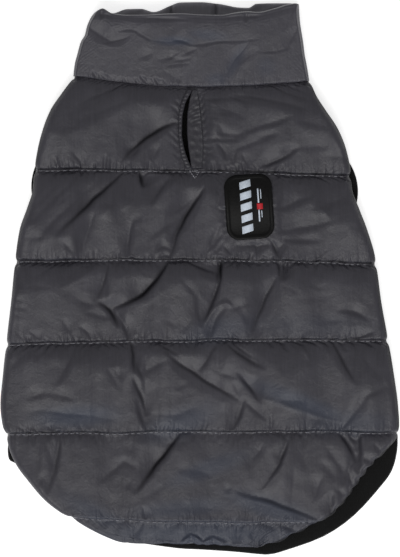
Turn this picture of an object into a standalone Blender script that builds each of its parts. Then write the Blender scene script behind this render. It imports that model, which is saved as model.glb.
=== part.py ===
"""Dog winter coat for a 300 mm back, laid flat on its belly with the collar towards +Y.

A padded back panel, sewn across into channels, is folded round the sides on to a plain belly panel
and sewn at the neck to a tube-shaped stand collar. A black lining shows past the tail hem, black
bindings edge the two armholes, and the back panel carries a leash slit with two welts and a patch.

Sizes are in millimetres. While the pieces are drawn, x runs from the coat's centre line to the right
and y from the tail tip to the collar. centre_on_floor() then places the whole coat in its own
frame: the origin is the middle of its box, on the floor.
"""

import math
from collections import namedtuple

import bmesh
import bpy
from mathutils import Vector
from mathutils.bvhtree import BVHTree

MM = 0.001
GAP = 0.3  # between pieces at a seam, and between layers that lie on each other

# The layers under the back panel.
BELLY_THICK = 2.5
LINING_THICK = 1.8
BINDING_THICK = 2.4
OVER_BELLY = BELLY_THICK + GAP
OVER_LINING = LINING_THICK + GAP

# The fold at each side: the back panel turns under by WRAP and meets the belly panel there.
WRAP = 18.0
FOLD_ROUND = 12.0  # how far in from the side the top is still rounding over
FOLD_MIDDLE = 5.5  # height of the fold's outermost point
ARMHOLE_EDGE = 5.2  # the same at the armholes, where the edge is bound and lies higher
HEM_EDGE = 3.2  # the same round the tail, where the padding ends in a flat hem

# One row for each level of the padded body's outline: its height up the back, then both sides.
Outline = namedtuple("Outline", "y left right")
BODY_OUTLINE = (
    Outline(301.0, -79.8, 69.2),
    Outline(290.4, -87.3, 73.3),
    Outline(281.0, -93.6, 79.1),
    Outline(268.4, -98.6, 87.3),
    Outline(255.8, -101.9, 92.3),
    Outline(242.2, -104.2, 95.2),
    Outline(230.6, -105.0, 96.2),
    Outline(219.2, -108.4, 100.2),
    Outline(205.4, -113.1, 105.5),
    Outline(186.5, -116.0, 111.0),
    Outline(161.3, -118.3, 114.2),
    Outline(133.9, -121.7, 119.2),
    Outline(114.0, -123.7, 122.3),
    Outline(95.1, -125.3, 124.8),
    Outline(82.5, -124.0, 125.6),
    Outline(77.5, -122.4, 125.6),
    Outline(66.8, -119.8, 117.8),
    Outline(57.3, -115.4, 108.6),
    Outline(47.9, -108.2, 101.4),
    Outline(35.3, -96.9, 91.8),
    Outline(22.7, -79.0, 78.2),
    Outline(16.4, -67.7, 65.2),
    Outline(10.1, -52.6, 52.0),
    Outline(5.0, -37.0, 38.0),
)

# One row for each line across the body, from the neck to the tail: where it meets the left side,
# the middle and the right side, how high the cloth stands on it, and how high the channel that
# follows it swells.
Seam = namedtuple("Seam", "name y_left y_middle y_right groove crown")
SEAMS = (
    Seam("neck", 301.0, 295.3, 299.0, 10.2, 16.0),
    Seam("quilt_1", 242.9, 242.2, 239.1, 8.2, 17.4),
    Seam("quilt_2", 185.2, 186.2, 183.6, 8.2, 17.8),
    Seam("quilt_3", 132.9, 135.5, 135.5, 8.0, 17.6),
    Seam("quilt_4", 76.5, 78.1, 77.5, 6.8, 15.6),
    Seam("quilt_5", 24.6, 22.1, 22.1, 4.9, 7.4),
    Seam("hem", 7.6, 6.7, 5.5, 4.0, 4.0),
)
CHANNEL_STEPS = (0.0, 0.04, 0.11, 0.2, 0.31, 0.43, 0.56, 0.69, 0.8, 0.89, 0.96)
TAIL_CHANNEL_STEPS = (0.0, 0.04, 0.1, 0.18, 0.27, 0.36, 0.45, 0.54, 0.63, 0.72, 0.81, 0.9, 0.96)
HEM_STRIP_STEPS = (0.0, 0.12, 0.35, 0.6, 0.82)
SEAM_NOTCH = 0.6  # how far each sewn line pulls the side in
NOTCH_REACH = 2.5

# The points across the top: fixed distances in from each side, then even steps, finer at the slit.
SIDE_STEPS = (0.0, 1.2, 3.5, 7.0)
LEFT_STEPS, SLIT_STEPS, RIGHT_STEPS = 19, 13, 19
SLIT_ZONE = (0.43, 0.566)  # the shares of the width between which the steps are finer
BOTTOM_STEPS = 5

# The largest creases: from one end to the other, how deep, and how wide.
Crease = namedtuple("Crease", "x0 y0 x1 y1 depth width")
CREASE_RIDGE = 0.28  # how high the cloth stands up beside a crease, as a share of its depth
CREASES = (
    Crease(-54.0, 247.0, -13.5, 275.0, 3.8, 12.0),
    Crease(-80.0, 276.0, -46.0, 292.5, 2.4, 9.0),
    Crease(11.0, 261.0, 62.3, 275.0, 2.8, 9.0),
    Crease(34.4, 243.5, 71.7, 259.5, 2.6, 8.5),
    Crease(-49.0, 241.0, -89.0, 199.0, 4.6, 12.0),
    Crease(-1.2, 229.5, -19.6, 190.0, 4.6, 10.0),
    Crease(-45.0, 220.7, -43.6, 188.8, 2.4, 8.0),
    Crease(71.3, 216.0, 100.7, 230.5, 2.8, 9.0),
    Crease(-54.3, 184.0, -84.7, 171.0, 3.0, 9.5),
    Crease(-18.5, 186.0, -41.7, 158.5, 3.8, 10.0),
    Crease(-64.4, 163.5, -43.2, 133.5, 4.2, 10.0),
    Crease(6.0, 142.0, 17.5, 167.0, 2.8, 9.0),
    Crease(-54.0, 112.4, -34.9, 79.0, 3.8, 10.0),
    Crease(-24.5, 132.5, 30.8, 96.3, 4.6, 13.0),
    Crease(27.4, 101.8, 19.0, 79.0, 3.2, 9.0),
    Crease(90.0, 128.0, 68.0, 92.0, 2.8, 10.0),
    Crease(-8.8, 77.0, -43.0, 39.0, 4.6, 11.0),
    Crease(57.1, 76.8, 37.8, 39.0, 3.6, 10.0),
    Crease(20.9, 40.7, 77.4, 22.9, 3.4, 10.0),
    Crease(-88.0, 63.0, -56.0, 43.0, 2.4, 9.0),
)

# Gathers that the sewing pulls up beside each line across.
GATHER_PITCH = 12.5
GATHER_DEPTH = 0.8
GATHER_REACH = 7.0

# The tail hem's elastic draws the right of the hem into small scallops.
RUFFLE_PITCH = 11.0
RUFFLE_DEPTH = 0.9
RUFFLE_TOP = 68.0  # height up the back where the scallops start

# The leash slit, from the neck seam down: its middle line, and the welts' outer edges beside it.
SlitPoint = namedtuple("SlitPoint", "y middle left_edge right_edge")
SLIT_LINE = (
    SlitPoint(293.4, -4.6, -7.6, -1.6),
    SlitPoint(284.1, -7.9, -11.6, -0.2),
    SlitPoint(275.9, -9.2, -12.9, 0.8),
    SlitPoint(267.1, -9.4, -13.1, 1.7),
    SlitPoint(258.3, -8.5, -12.4, 2.0),
    SlitPoint(250.7, -6.8, -10.6, 1.8),
    SlitPoint(244.6, -5.2, -8.4, 1.2),
)
SLIT_TOP, SLIT_BOTTOM = 291.0, 247.0  # where the cut itself starts and ends
SLIT_HALF_WIDTH = 1.6
LEFT_LIP = 12.4  # height of the padded lip on the slit's left
RIGHT_LEDGE = 8.6  # height of the flat ledge on its right, which carries the wide welt
WELT_THICK = 1.1
WELT_STEPS = 14
WELT_ACROSS = 5

# The patch: a stiff rounded rectangle with a raised rim, sewn under the first quilted line.
PATCH_X, PATCH_Y = 31.2, 219.9
PATCH_WIDTH, PATCH_LENGTH = 30.0, 41.0
PATCH_CORNER = 8.0
PATCH_TURN = math.radians(3.8)
PATCH_THICK = 1.3
PATCH_RIM_WIDTH, PATCH_RIM_RISE = 2.6, 0.6
PATCH_BED = 6.0  # the panel is smooth this far round the patch
PATCH_CREST, PATCH_DROP = 17.0, 4.6  # the bed's height, and its fall towards the patch's top end
CORNER_STEPS = 6

# The armholes, cut in the underside beside the folds, and the rib that binds each.
Armhole = namedtuple("Armhole", "side x y turn")
ARMHOLES = (
    Armhole("left", -82.3, 234.3, math.radians(-8.0)),
    Armhole("right", 76.1, 231.4, math.radians(10.0)),
)
ARMHOLE_HALF_WIDTH, ARMHOLE_HALF_LENGTH = 24.0, 28.4  # to the binding's outer edge
BINDING_WIDTH = 6.0
ARMHOLE_CLEAR = 12.0  # the fold's underside is lifted this far past a binding's ends
BINDING_STEPS = 36
NOTCH_CLEAR = 0.9  # from a binding to the belly panel round it

# The belly panel's rear edge is cut up in an arch between the folds.
BELLY_HEM_SIDE, BELLY_HEM_MIDDLE = 79.5, 106.0
BELLY_STEPS = 12

# The lining's edge round the tail, from the left side to the right, past the padded hem.
EdgePoint = namedtuple("EdgePoint", "x y")
LINING_EDGE = (
    EdgePoint(-119.6, 76.6),
    EdgePoint(-121.2, 69.3),
    EdgePoint(-121.2, 63.4),
    EdgePoint(-119.9, 59.6),
    EdgePoint(-114.4, 56.3),
    EdgePoint(-102.0, 42.2),
    EdgePoint(-81.8, 26.4),
    EdgePoint(-60.4, 14.7),
    EdgePoint(-45.6, 9.0),
    EdgePoint(-34.3, 6.9),
    EdgePoint(-13.1, 4.0),
    EdgePoint(0.3, 3.3),
    EdgePoint(21.7, 1.9),
    EdgePoint(36.0, 0.5),
    EdgePoint(44.3, 0.2),
    EdgePoint(54.3, 2.7),
    EdgePoint(78.6, 11.6),
    EdgePoint(97.9, 24.9),
    EdgePoint(114.8, 43.4),
    EdgePoint(121.9, 53.6),
    EdgePoint(125.1, 65.7),
    EdgePoint(125.4, 76.6),
)

# The collar: one tube, flattened. Rows run from the neck seam (share 0) to the mouth (share 1).
CollarSide = namedtuple("CollarSide", "share left right")
COLLAR_SIDES = (
    CollarSide(0.00, -79.6, 69.3),
    CollarSide(0.20, -78.6, 67.7),
    CollarSide(0.33, -77.2, 66.5),
    CollarSide(0.53, -74.9, 65.2),
    CollarSide(0.64, -72.3, 64.3),
    CollarSide(0.76, -71.1, 63.4),
    CollarSide(0.90, -68.6, 62.9),
    CollarSide(1.00, -65.4, 62.7),
)
# How far up the mouth's upper fold and its lower fold reach, across the coat.
MouthPoint = namedtuple("MouthPoint", "x upper lower")
MOUTH = (
    MouthPoint(-65.4, 343.2, 343.2),
    MouthPoint(-61.0, 344.6, 344.6),
    MouthPoint(-55.0, 341.6, 342.6),
    MouthPoint(-46.0, 340.5, 345.2),
    MouthPoint(-37.0, 340.5, 345.4),
    MouthPoint(-29.0, 340.8, 343.4),
    MouthPoint(-18.0, 341.4, 347.6),
    MouthPoint(-12.0, 341.5, 349.4),
    MouthPoint(0.0, 340.8, 349.6),
    MouthPoint(13.0, 340.5, 348.4),
    MouthPoint(25.0, 342.3, 346.2),
    MouthPoint(31.0, 342.7, 346.0),
    MouthPoint(36.0, 342.3, 348.6),
    MouthPoint(47.0, 344.6, 348.9),
    MouthPoint(55.0, 347.0, 348.9),
    MouthPoint(62.7, 348.4, 348.6),
)
# The thickness of the collar's doubled wall, the hollow inside it, and the swell of its padding.
CollarBand = namedtuple("CollarBand", "share wall hollow swell")
COLLAR_BANDS = (
    CollarBand(0.00, 2.8, 4.7, 0.0),
    CollarBand(0.06, 4.0, 4.8, 0.2),
    CollarBand(0.18, 4.6, 4.9, 0.9),
    CollarBand(0.34, 4.7, 5.1, 1.3),
    CollarBand(0.52, 4.6, 5.4, 1.0),
    CollarBand(0.70, 4.7, 5.8, 1.3),
    CollarBand(0.86, 4.6, 6.2, 1.0),
    CollarBand(0.95, 4.0, 6.5, 0.3),
)
COLLAR_INSIDE_SHARES = (0.93, 0.7, 0.35, 0.0)
COLLAR_ACROSS = 34
COLLAR_SIDE_STEPS = (0.0, 1.0, 3.0, 6.0, 10.0)
COLLAR_ROUND = 10.0
COLLAR_CREASES = (
    Crease(-70.0, 333.0, -52.0, 325.5, 1.6, 3.5),
    Crease(-52.0, 325.5, -38.0, 331.0, 1.2, 3.5),
    Crease(14.0, 327.0, 2.0, 300.0, 1.1, 5.0),
    Crease(-20.0, 322.0, 40.0, 326.5, 0.7, 4.5),
    Crease(60.0, 331.0, 48.0, 320.0, 0.9, 4.0),
)

# Each cloth's colour and roughness.
Cloth = namedtuple("Cloth", "colour roughness")
SHELL = Cloth((0.068, 0.067, 0.073, 1.0), 0.42)
KNIT = Cloth((0.008, 0.008, 0.009, 1.0), 0.95)
BADGE = Cloth((0.011, 0.011, 0.011, 1.0), 0.55)


def lerp(a, b, share):
    return a + (b - a) * share


def eased(share):
    share = min(1.0, max(0.0, share))
    return share * share * (3.0 - 2.0 * share)


def smooth_curve(xs, ys):
    """A curve through the points that never overshoots them, as a function of x."""
    if xs[0] > xs[-1]:
        xs, ys = xs[::-1], ys[::-1]
    steps = [(ys[i + 1] - ys[i]) / (xs[i + 1] - xs[i]) for i in range(len(xs) - 1)]
    slopes = [steps[0]]
    for before, after in zip(steps, steps[1:]):
        slopes.append(0.0 if before * after <= 0 else 2.0 * before * after / (before + after))
    slopes.append(steps[-1])

    def value(x):
        x = min(xs[-1], max(xs[0], x))
        i = max(j for j in range(len(xs) - 1) if xs[j] <= x or j == 0)
        width = xs[i + 1] - xs[i]
        t = (x - xs[i]) / width
        rise = ys[i + 1] - ys[i]
        a = slopes[i] * width - rise
        b = rise - slopes[i + 1] * width
        return ys[i] + t * rise + t * (1.0 - t) * (a * (1.0 - t) + b * t)

    return value


def column(table, name):
    return [getattr(row, name) for row in table]


body_left = smooth_curve(column(BODY_OUTLINE, "y"), column(BODY_OUTLINE, "left"))
body_right = smooth_curve(column(BODY_OUTLINE, "y"), column(BODY_OUTLINE, "right"))
slit_middle = smooth_curve(column(SLIT_LINE, "y"), column(SLIT_LINE, "middle"))
welt_left = smooth_curve(column(SLIT_LINE, "y"), column(SLIT_LINE, "left_edge"))
welt_right = smooth_curve(column(SLIT_LINE, "y"), column(SLIT_LINE, "right_edge"))


def cloth_material(name, cloth):
    material = bpy.data.materials.new(name)
    material.use_nodes = True
    shader = material.node_tree.nodes["Principled BSDF"]
    shader.inputs["Base Color"].default_value = cloth.colour
    shader.inputs["Roughness"].default_value = cloth.roughness
    shader.inputs["Metallic"].default_value = 0.0
    material.diffuse_color = cloth.colour
    return material


def make_object(name, points, faces, cloth):
    """A closed mesh from points in millimetres, smooth but for its sharp edges."""
    mesh = bpy.data.meshes.new(name)
    mesh.from_pydata([Vector(p) * MM for p in points], [], faces)
    cleaned = bmesh.new()
    cleaned.from_mesh(mesh)
    # Each quad is split along its shorter diagonal, which lets the creases run clean across it.
    bmesh.ops.triangulate(cleaned, faces=cleaned.faces[:], quad_method="SHORT_EDGE")
    bmesh.ops.recalc_face_normals(cleaned, faces=cleaned.faces[:])
    cleaned.to_mesh(mesh)
    cleaned.free()
    mesh.shade_smooth()
    mesh.set_sharp_from_angle(angle=math.radians(50))
    mesh.materials.append(cloth_material(name + "_cloth", cloth))
    made = bpy.data.objects.new(name, mesh)
    bpy.context.scene.collection.objects.link(made)
    return made


def ring_faces(count, rings, closed=False):
    """The quads between neighbouring rings, which all have the same number of points."""
    faces = []
    for r in range(rings if closed else rings - 1):
        here, there = r * count, (r + 1) % rings * count
        for i in range(count):
            j = (i + 1) % count
            faces.append((here + i, here + j, there + j, there + i))
    return faces


def loft(name, rings, cloth):
    """A solid through rings of points, closed by a face at each end."""
    count = len(rings[0])
    faces = ring_faces(count, len(rings))
    faces.append(tuple(range(count)))
    faces.append(tuple(range((len(rings) - 1) * count, len(rings) * count)))
    return make_object(name, [p for ring in rings for p in ring], faces, cloth)


def closed_loft(name, rings, cloth):
    """A solid through rings that lead back to the first, as round a tube's wall."""
    faces = ring_faces(len(rings[0]), len(rings), closed=True)
    return make_object(name, [p for ring in rings for p in ring], faces, cloth)


def flat_sheet(name, outline, low, high, cloth):
    """A sheet of even thickness with this outline."""
    return loft(name, [[(x, y, z) for x, y in outline] for z in (low, high)], cloth)


def crease_depth(creases, x, y):
    """How far the creases press the surface in at a point."""
    depth = 0.0
    for c in creases:
        along_x, along_y = c.x1 - c.x0, c.y1 - c.y0
        length = math.hypot(along_x, along_y)
        s = ((x - c.x0) * along_x + (y - c.y0) * along_y) / length
        off = ((x - c.x0) * along_y - (y - c.y0) * along_x) / length
        past = max(0.0, -s, s - length)
        fade = math.sin(math.pi * min(1.0, max(0.0, s / length))) ** 0.5 if past == 0.0 else 0.0
        half = 0.5 * c.width
        trough = math.exp(-((off / half) ** 2))
        ridge = math.exp(-(((abs(off) - 2.0 * half) / half) ** 2))
        depth += c.depth * fade * (trough - CREASE_RIDGE * ridge)
    return depth


def seam_y(seam, u):
    """How far up the back a line across lies, from u = -1 at the left side to 1 at the right."""
    tilt = (seam.y_right - seam.y_left) / 2.0
    bow = (seam.y_right + seam.y_left) / 2.0 - seam.y_middle
    return seam.y_middle + tilt * u + bow * u * u


def patch_frame(x, y):
    """A point's distances from the patch's middle, across it and along it."""
    dx, dy = x - PATCH_X, y - PATCH_Y
    across = dx * math.cos(PATCH_TURN) + dy * math.sin(PATCH_TURN)
    along = -dx * math.sin(PATCH_TURN) + dy * math.cos(PATCH_TURN)
    return across, along


def slit_shape(x, y, height):
    """The height beside the leash slit: a padded lip on the left, a flat ledge on the right."""
    reach = eased((y - SLIT_BOTTOM + 6.0) / 6.0) * eased((297.0 - y) / 4.0)
    if reach <= 0.0:
        return height
    middle, right_edge = slit_middle(y), welt_right(y)
    if x < middle:
        rise = eased((middle - x) / 9.0)
        shaped = lerp(LEFT_LIP, height, rise)
    elif x < right_edge + 0.5:
        shaped = RIGHT_LEDGE
    else:
        rise = eased((x - right_edge - 0.5) / 8.0)
        shaped = lerp(RIGHT_LEDGE, height, rise)
    return lerp(height, min(height, shaped), reach)


def top_height(x, y, u, channel, t):
    """The padded panel's upper surface, t of the way down a channel."""
    upper, lower = SEAMS[channel], SEAMS[channel + 1]
    groove = lerp(upper.groove, lower.groove, t)
    swell = (1.0 - abs(2.0 * t - 1.0) ** 2.4) ** 0.75
    height = groove + (upper.crown - groove) * swell
    across, along = patch_frame(x, y)
    bed = max(abs(across) - PATCH_WIDTH / 2.0, abs(along) - PATCH_LENGTH / 2.0)
    loose = eased(bed / PATCH_BED)
    span = seam_y(upper, u) - seam_y(lower, u)
    from_seam = min(t, 1.0 - t) * span
    gather = math.exp(-from_seam / GATHER_REACH) * eased(from_seam / 2.0)
    phase = 2.0 * math.pi * (x / GATHER_PITCH + 0.37 * channel + (0.25 if t > 0.5 else 0.0))
    if along > 0.0:
        bed_height = PATCH_CREST - PATCH_DROP * (along / (PATCH_LENGTH / 2.0)) ** 2
        height = lerp(max(height, bed_height), height, loose)
    height -= loose * crease_depth(CREASES, x, y) * swell
    height -= loose * GATHER_DEPTH * gather * (1.0 + math.sin(phase)) * 0.5
    if channel == 0:
        height = slit_shape(x, y, height)
    return height


def side_levels(y):
    """At this height up the back: the fold's underside, its outermost point, the inner underside."""
    if y < SEAMS[4].y_left + 1.5:
        return OVER_LINING, HEM_EDGE, OVER_LINING
    clear = ARMHOLE_HALF_LENGTH + ARMHOLE_CLEAR
    if any(abs(y - hole.y) < clear for hole in ARMHOLES):
        return OVER_BELLY, ARMHOLE_EDGE, OVER_BELLY
    return 0.0, FOLD_MIDDLE, OVER_BELLY


def station_sides(channel, t):
    """The body's left and right sides, t of the way down a channel."""
    upper, lower = SEAMS[channel], SEAMS[channel + 1]
    y_left, y_right = (lerp(seam_y(upper, u), seam_y(lower, u), t) for u in (-1.0, 1.0))
    return y_left, y_right, body_left(y_left), body_right(y_right)


def station_y(channel, t, x):
    """How far across the body x is, and the height up the back at which the station passes it."""
    left, right = station_sides(channel, t)[2:]
    u = 2.0 * (x - left) / (right - left) - 1.0
    return u, lerp(seam_y(SEAMS[channel], u), seam_y(SEAMS[channel + 1], u), t)


def pulled_in(y_right, nearest_seam):
    """How far a sewn line's notch and the hem's scallops pull in the left and the right side."""
    notch = SEAM_NOTCH * math.exp(-((nearest_seam / NOTCH_REACH) ** 2))
    wave = 1.0 + math.sin(2.0 * math.pi * y_right / RUFFLE_PITCH)
    return notch, notch + RUFFLE_DEPTH * wave * eased((RUFFLE_TOP - y_right) / 10.0)


def width_shares():
    """Even steps across the width between the rounded sides, finer beside the slit."""
    start, end = SLIT_ZONE
    shares = [start * i / LEFT_STEPS for i in range(LEFT_STEPS)]
    shares += [lerp(start, end, i / SLIT_STEPS) for i in range(SLIT_STEPS)]
    return shares + [lerp(end, 1.0, i / RIGHT_STEPS) for i in range(RIGHT_STEPS + 1)]


def body_section(channel, t):
    """The ring of points round the back panel, t of the way down one channel."""
    y_left, y_right, side_left, side_right = station_sides(channel, t)
    nearest = min(t, 1.0 - t) * (SEAMS[channel].y_middle - SEAMS[channel + 1].y_middle)
    pull_left, pull_right = pulled_in(y_right, nearest)
    left, right = side_left + pull_left, side_right - pull_right
    under, outermost, inner = side_levels((y_left + y_right) / 2.0)

    xs = [left + d for d in SIDE_STEPS]
    xs += [lerp(left + FOLD_ROUND, right - FOLD_ROUND, share) for share in width_shares()]
    xs += [right - d for d in reversed(SIDE_STEPS)]
    ring = []
    for x in xs:
        u, y = station_y(channel, t, x)
        rounded = min(1.0, min(x - left, right - x) / FOLD_ROUND)
        top = top_height(x, y, u, channel, t)
        ring.append((x, y, outermost + (top - outermost) * math.sqrt(1.0 - (1.0 - rounded) ** 2)))

    turn = lerp(under, outermost, 0.42)
    below = [(right - 1.2, turn), (right - 4.5, under)]
    below += [(side_right - WRAP, under), (side_right - WRAP - GAP, inner)]
    for i in range(1, BOTTOM_STEPS):
        below.append((lerp(side_right - WRAP, side_left + WRAP, i / BOTTOM_STEPS), inner))
    below += [(side_left + WRAP + GAP, inner), (side_left + WRAP, under)]
    below += [(left + 4.5, under), (left + 1.2, turn)]
    return ring + [(x, station_y(channel, t, x)[1], z) for x, z in below]


def fold_seam(sign):
    """Points down the line where the fold ends and the belly panel begins, one for each station."""
    points = []
    for channel in range(4):
        for t in CHANNEL_STEPS:
            side = station_sides(channel, t)[2 if sign < 0 else 3]
            x = side - sign * (WRAP + 2.0 * GAP)
            points.append((x, station_y(channel, t, x)[1]))
    return points


fold_seams = {"left": fold_seam(-1), "right": fold_seam(1)}


def slit_cutter():
    """A lens-shaped blade, longer than the panel is thick, along the slit's middle line."""
    steps = 12
    left, right = [], []
    for i in range(steps + 1):
        y = lerp(SLIT_TOP, SLIT_BOTTOM, i / steps)
        half = 0.05 + SLIT_HALF_WIDTH * math.sin(math.pi * i / steps) ** 0.6
        left.append((slit_middle(y) - half, y))
        right.append((slit_middle(y) + half, y))
    blade = flat_sheet("slit_blade", left + right[::-1], -5.0, 40.0, SHELL)
    blade.hide_render = True
    blade.display_type = "WIRE"
    return blade


def make_back_panel():
    rings = []
    for channel in range(len(SEAMS) - 1):
        steps = CHANNEL_STEPS
        if channel == 4:
            steps = TAIL_CHANNEL_STEPS
        elif channel == 5:
            steps = HEM_STRIP_STEPS
        rings += [body_section(channel, t) for t in steps]
    rings.append(body_section(len(SEAMS) - 2, 1.0))
    panel = loft("back_panel", rings, SHELL)
    cut = panel.modifiers.new("leash_slit", "BOOLEAN")
    cut.operation = "DIFFERENCE"
    cut.object = slit_cutter()
    return panel


def resting_height(surface, x, y):
    """Just above the highest point of a piece's upper surface round (x, y)."""
    reach = 1.3
    highest = 0.0
    for dx in (-reach, 0.0, reach):
        for dy in (-reach, 0.0, reach):
            start = Vector((x + dx, y + dy, 60.0)) * MM
            hit = surface.ray_cast(start, Vector((0.0, 0.0, -1.0)))[0]
            if hit is not None:
                highest = max(highest, hit.z / MM)
    return highest + GAP


def surface_of(made):
    return BVHTree.FromPolygons(
        [v.co for v in made.data.vertices], [tuple(p.vertices) for p in made.data.polygons]
    )


def make_welt(name, surface, inner_edge, outer_edge):
    """A strip that lies on the panel between the slit and its outer edge."""
    rings = []
    for i in range(WELT_STEPS + 1):
        y = lerp(SLIT_LINE[0].y, SLIT_LINE[-1].y, i / WELT_STEPS)
        inner, outer = inner_edge(y), outer_edge(y)
        xs = [lerp(inner, outer, k / (WELT_ACROSS - 1)) for k in range(WELT_ACROSS)]
        low = [(x, y, resting_height(surface, x, y)) for x in xs]
        high = [
            (x, y, z + WELT_THICK * (0.55 if k in (0, WELT_ACROSS - 1) else 1.0))
            for k, (x, y, z) in enumerate(low)
        ]
        rings.append(low + high[::-1])
    return loft(name, rings, SHELL)


def rounded_rectangle(width, length, corner):
    """The outline of a rectangle with round corners, round its middle."""
    points = []
    for quarter in range(4):
        turn = quarter * math.pi / 2.0
        side_x = (1, -1, -1, 1)[quarter] * (width / 2.0 - corner)
        side_y = (1, 1, -1, -1)[quarter] * (length / 2.0 - corner)
        for i in range(CORNER_STEPS + 1):
            a = turn + i * math.pi / 2.0 / CORNER_STEPS
            points.append((side_x + corner * math.cos(a), side_y + corner * math.sin(a)))
        if quarter in (0, 2):
            continue
        # The long sides get points of their own, so that they can follow the panel.
        x = side_x + corner * math.cos(turn + math.pi / 2.0)
        run = 2.0 * (length / 2.0 - corner)
        down = 1.0 if quarter == 1 else -1.0
        points += [(x, side_y - down * run * share) for share in (0.25, 0.5, 0.75)]
    return points


def make_patch(surface):
    """Rings from the underside's middle out, up the edge and back in over the raised rim."""
    shrinks = [9.0, 4.0, 0.0]
    levels = [(s, 0.0) for s in shrinks]
    levels.append((0.0, PATCH_THICK))
    levels.append((0.7, PATCH_THICK + PATCH_RIM_RISE))
    levels.append((PATCH_RIM_WIDTH, PATCH_THICK + PATCH_RIM_RISE))
    levels.append((PATCH_RIM_WIDTH + 0.7, PATCH_THICK))
    levels.append((9.0, PATCH_THICK))
    rings = []
    for shrink, rise in levels:
        corner = max(0.6, PATCH_CORNER - shrink)
        outline = rounded_rectangle(
            PATCH_WIDTH - 2.0 * shrink, PATCH_LENGTH - 2.0 * shrink, corner
        )
        ring = []
        for across, along in outline:
            x = PATCH_X + across * math.cos(PATCH_TURN) - along * math.sin(PATCH_TURN)
            y = PATCH_Y + across * math.sin(PATCH_TURN) + along * math.cos(PATCH_TURN)
            ring.append((x, y, resting_height(surface, x, y) + rise))
        rings.append(ring)
    return loft("patch", rings, BADGE)


def armhole_point(hole, a, out):
    """A point at angle a on the armhole's oval, moved out by a distance."""
    across = (ARMHOLE_HALF_WIDTH + out) * math.cos(a)
    along = (ARMHOLE_HALF_LENGTH + out) * math.sin(a)
    x = hole.x + across * math.cos(hole.turn) - along * math.sin(hole.turn)
    y = hole.y + across * math.sin(hole.turn) + along * math.cos(hole.turn)
    return x, y


def make_binding(hole):
    """The rib round one armhole: a low rounded band swept round an oval."""
    profile = ((0.0, 0.3), (0.0, 0.7), (0.12, 1.0), (0.88, 1.0), (1.0, 0.7), (1.0, 0.3), (0.88, 0.0), (0.12, 0.0))
    rings = []
    for i in range(BINDING_STEPS):
        a = 2.0 * math.pi * i / BINDING_STEPS
        ring = []
        for share, z in profile:
            x, y = armhole_point(hole, a, -BINDING_WIDTH * share)
            ring.append((x, y, z * BINDING_THICK))
        rings.append(ring)
    return closed_loft("armhole_binding_" + hole.side, rings, KNIT)


def fold_edge(y, side):
    """Where the fold ends on one side, at a height up the back."""
    seam = fold_seams[side]
    i = max([j for j in range(len(seam) - 1) if seam[j][1] >= y] or [0])
    share = min(1.0, max(0.0, (y - seam[i][1]) / (seam[i + 1][1] - seam[i][1])))
    return lerp(seam[i][0], seam[i + 1][0], share)


def belly_side(hole):
    """Points down one side of the belly panel: along the fold's seam, and in round the armhole."""
    sign = -1.0 if hole.side == "left" else 1.0
    notch = []
    for i in range(25):
        a = math.pi * (0.5 + i / 24.0)
        a = a if sign > 0 else math.pi - a
        x, y = armhole_point(hole, a, NOTCH_CLEAR)
        if sign * (fold_edge(y, hole.side) - x) > 1.5:
            notch.append((x, y))
    top, bottom = notch[0][1], notch[-1][1]
    seam = fold_seams[hole.side]
    above = [p for p in seam[1:] if p[1] > top + 2.0] + [(fold_edge(top, hole.side), top)]
    below = [p for p in seam if BELLY_HEM_SIDE + 1.0 < p[1] < bottom - 2.0]
    below.append((fold_edge(BELLY_HEM_SIDE, hole.side), BELLY_HEM_SIDE))
    return above + notch + [(fold_edge(bottom, hole.side), bottom)] + below


def belly_hem(x, left, right):
    """The arch of the belly panel's rear edge."""
    u = 2.0 * (x - left) / (right - left) - 1.0
    return lerp(BELLY_HEM_MIDDLE, BELLY_HEM_SIDE, u * u)


def make_belly_panel():
    left_side, right_side = (belly_side(hole) for hole in ARMHOLES)
    top_left, top_right = (fold_seams[hole.side][0][0] for hole in ARMHOLES)
    outline = []
    for i in range(9):
        x = lerp(top_left, top_right, i / 8.0)
        outline.append((x, station_y(0, 0.0, x)[1]))
    outline += right_side
    hem_left, hem_right = left_side[-1][0], right_side[-1][0]
    for i in range(1, BELLY_STEPS):
        x = lerp(hem_right, hem_left, i / BELLY_STEPS)
        outline.append((x, belly_hem(x, hem_left, hem_right)))
    outline += left_side[::-1]
    return flat_sheet("belly_panel", outline, 0.0, BELLY_THICK, KNIT)


def rounded_path(points, steps=3):
    """Points along a smooth curve through the given ones."""
    path = []
    for i in range(len(points) - 1):
        before, start = points[max(0, i - 1)], points[i]
        end, after = points[i + 1], points[min(len(points) - 1, i + 2)]
        for k in range(steps):
            t = k / steps
            path.append(tuple(
                0.5 * (2 * b + (c - a) * t + (2 * a - 5 * b + 4 * c - d) * t**2 + (3 * b - a - 3 * c + d) * t**3)
                for a, b, c, d in zip(before, start, end, after)
            ))
    return path + [tuple(points[-1])]


def make_lining():
    """The black lining, from the belly panel's rear edge to its own edge round the tail."""
    outline = rounded_path(LINING_EDGE)
    hem_left, hem_right = (fold_edge(BELLY_HEM_SIDE, hole.side) for hole in ARMHOLES)
    start = outline[-1]
    outline.append((hem_right, start[1]))
    for i in range(1, BELLY_STEPS):
        x = lerp(hem_right, hem_left, i / BELLY_STEPS)
        outline.append((x, belly_hem(x, hem_left, hem_right) - 1.0))
    outline.append((hem_left, start[1]))
    return flat_sheet("tail_lining", outline, 0.0, LINING_THICK, KNIT)


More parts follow.
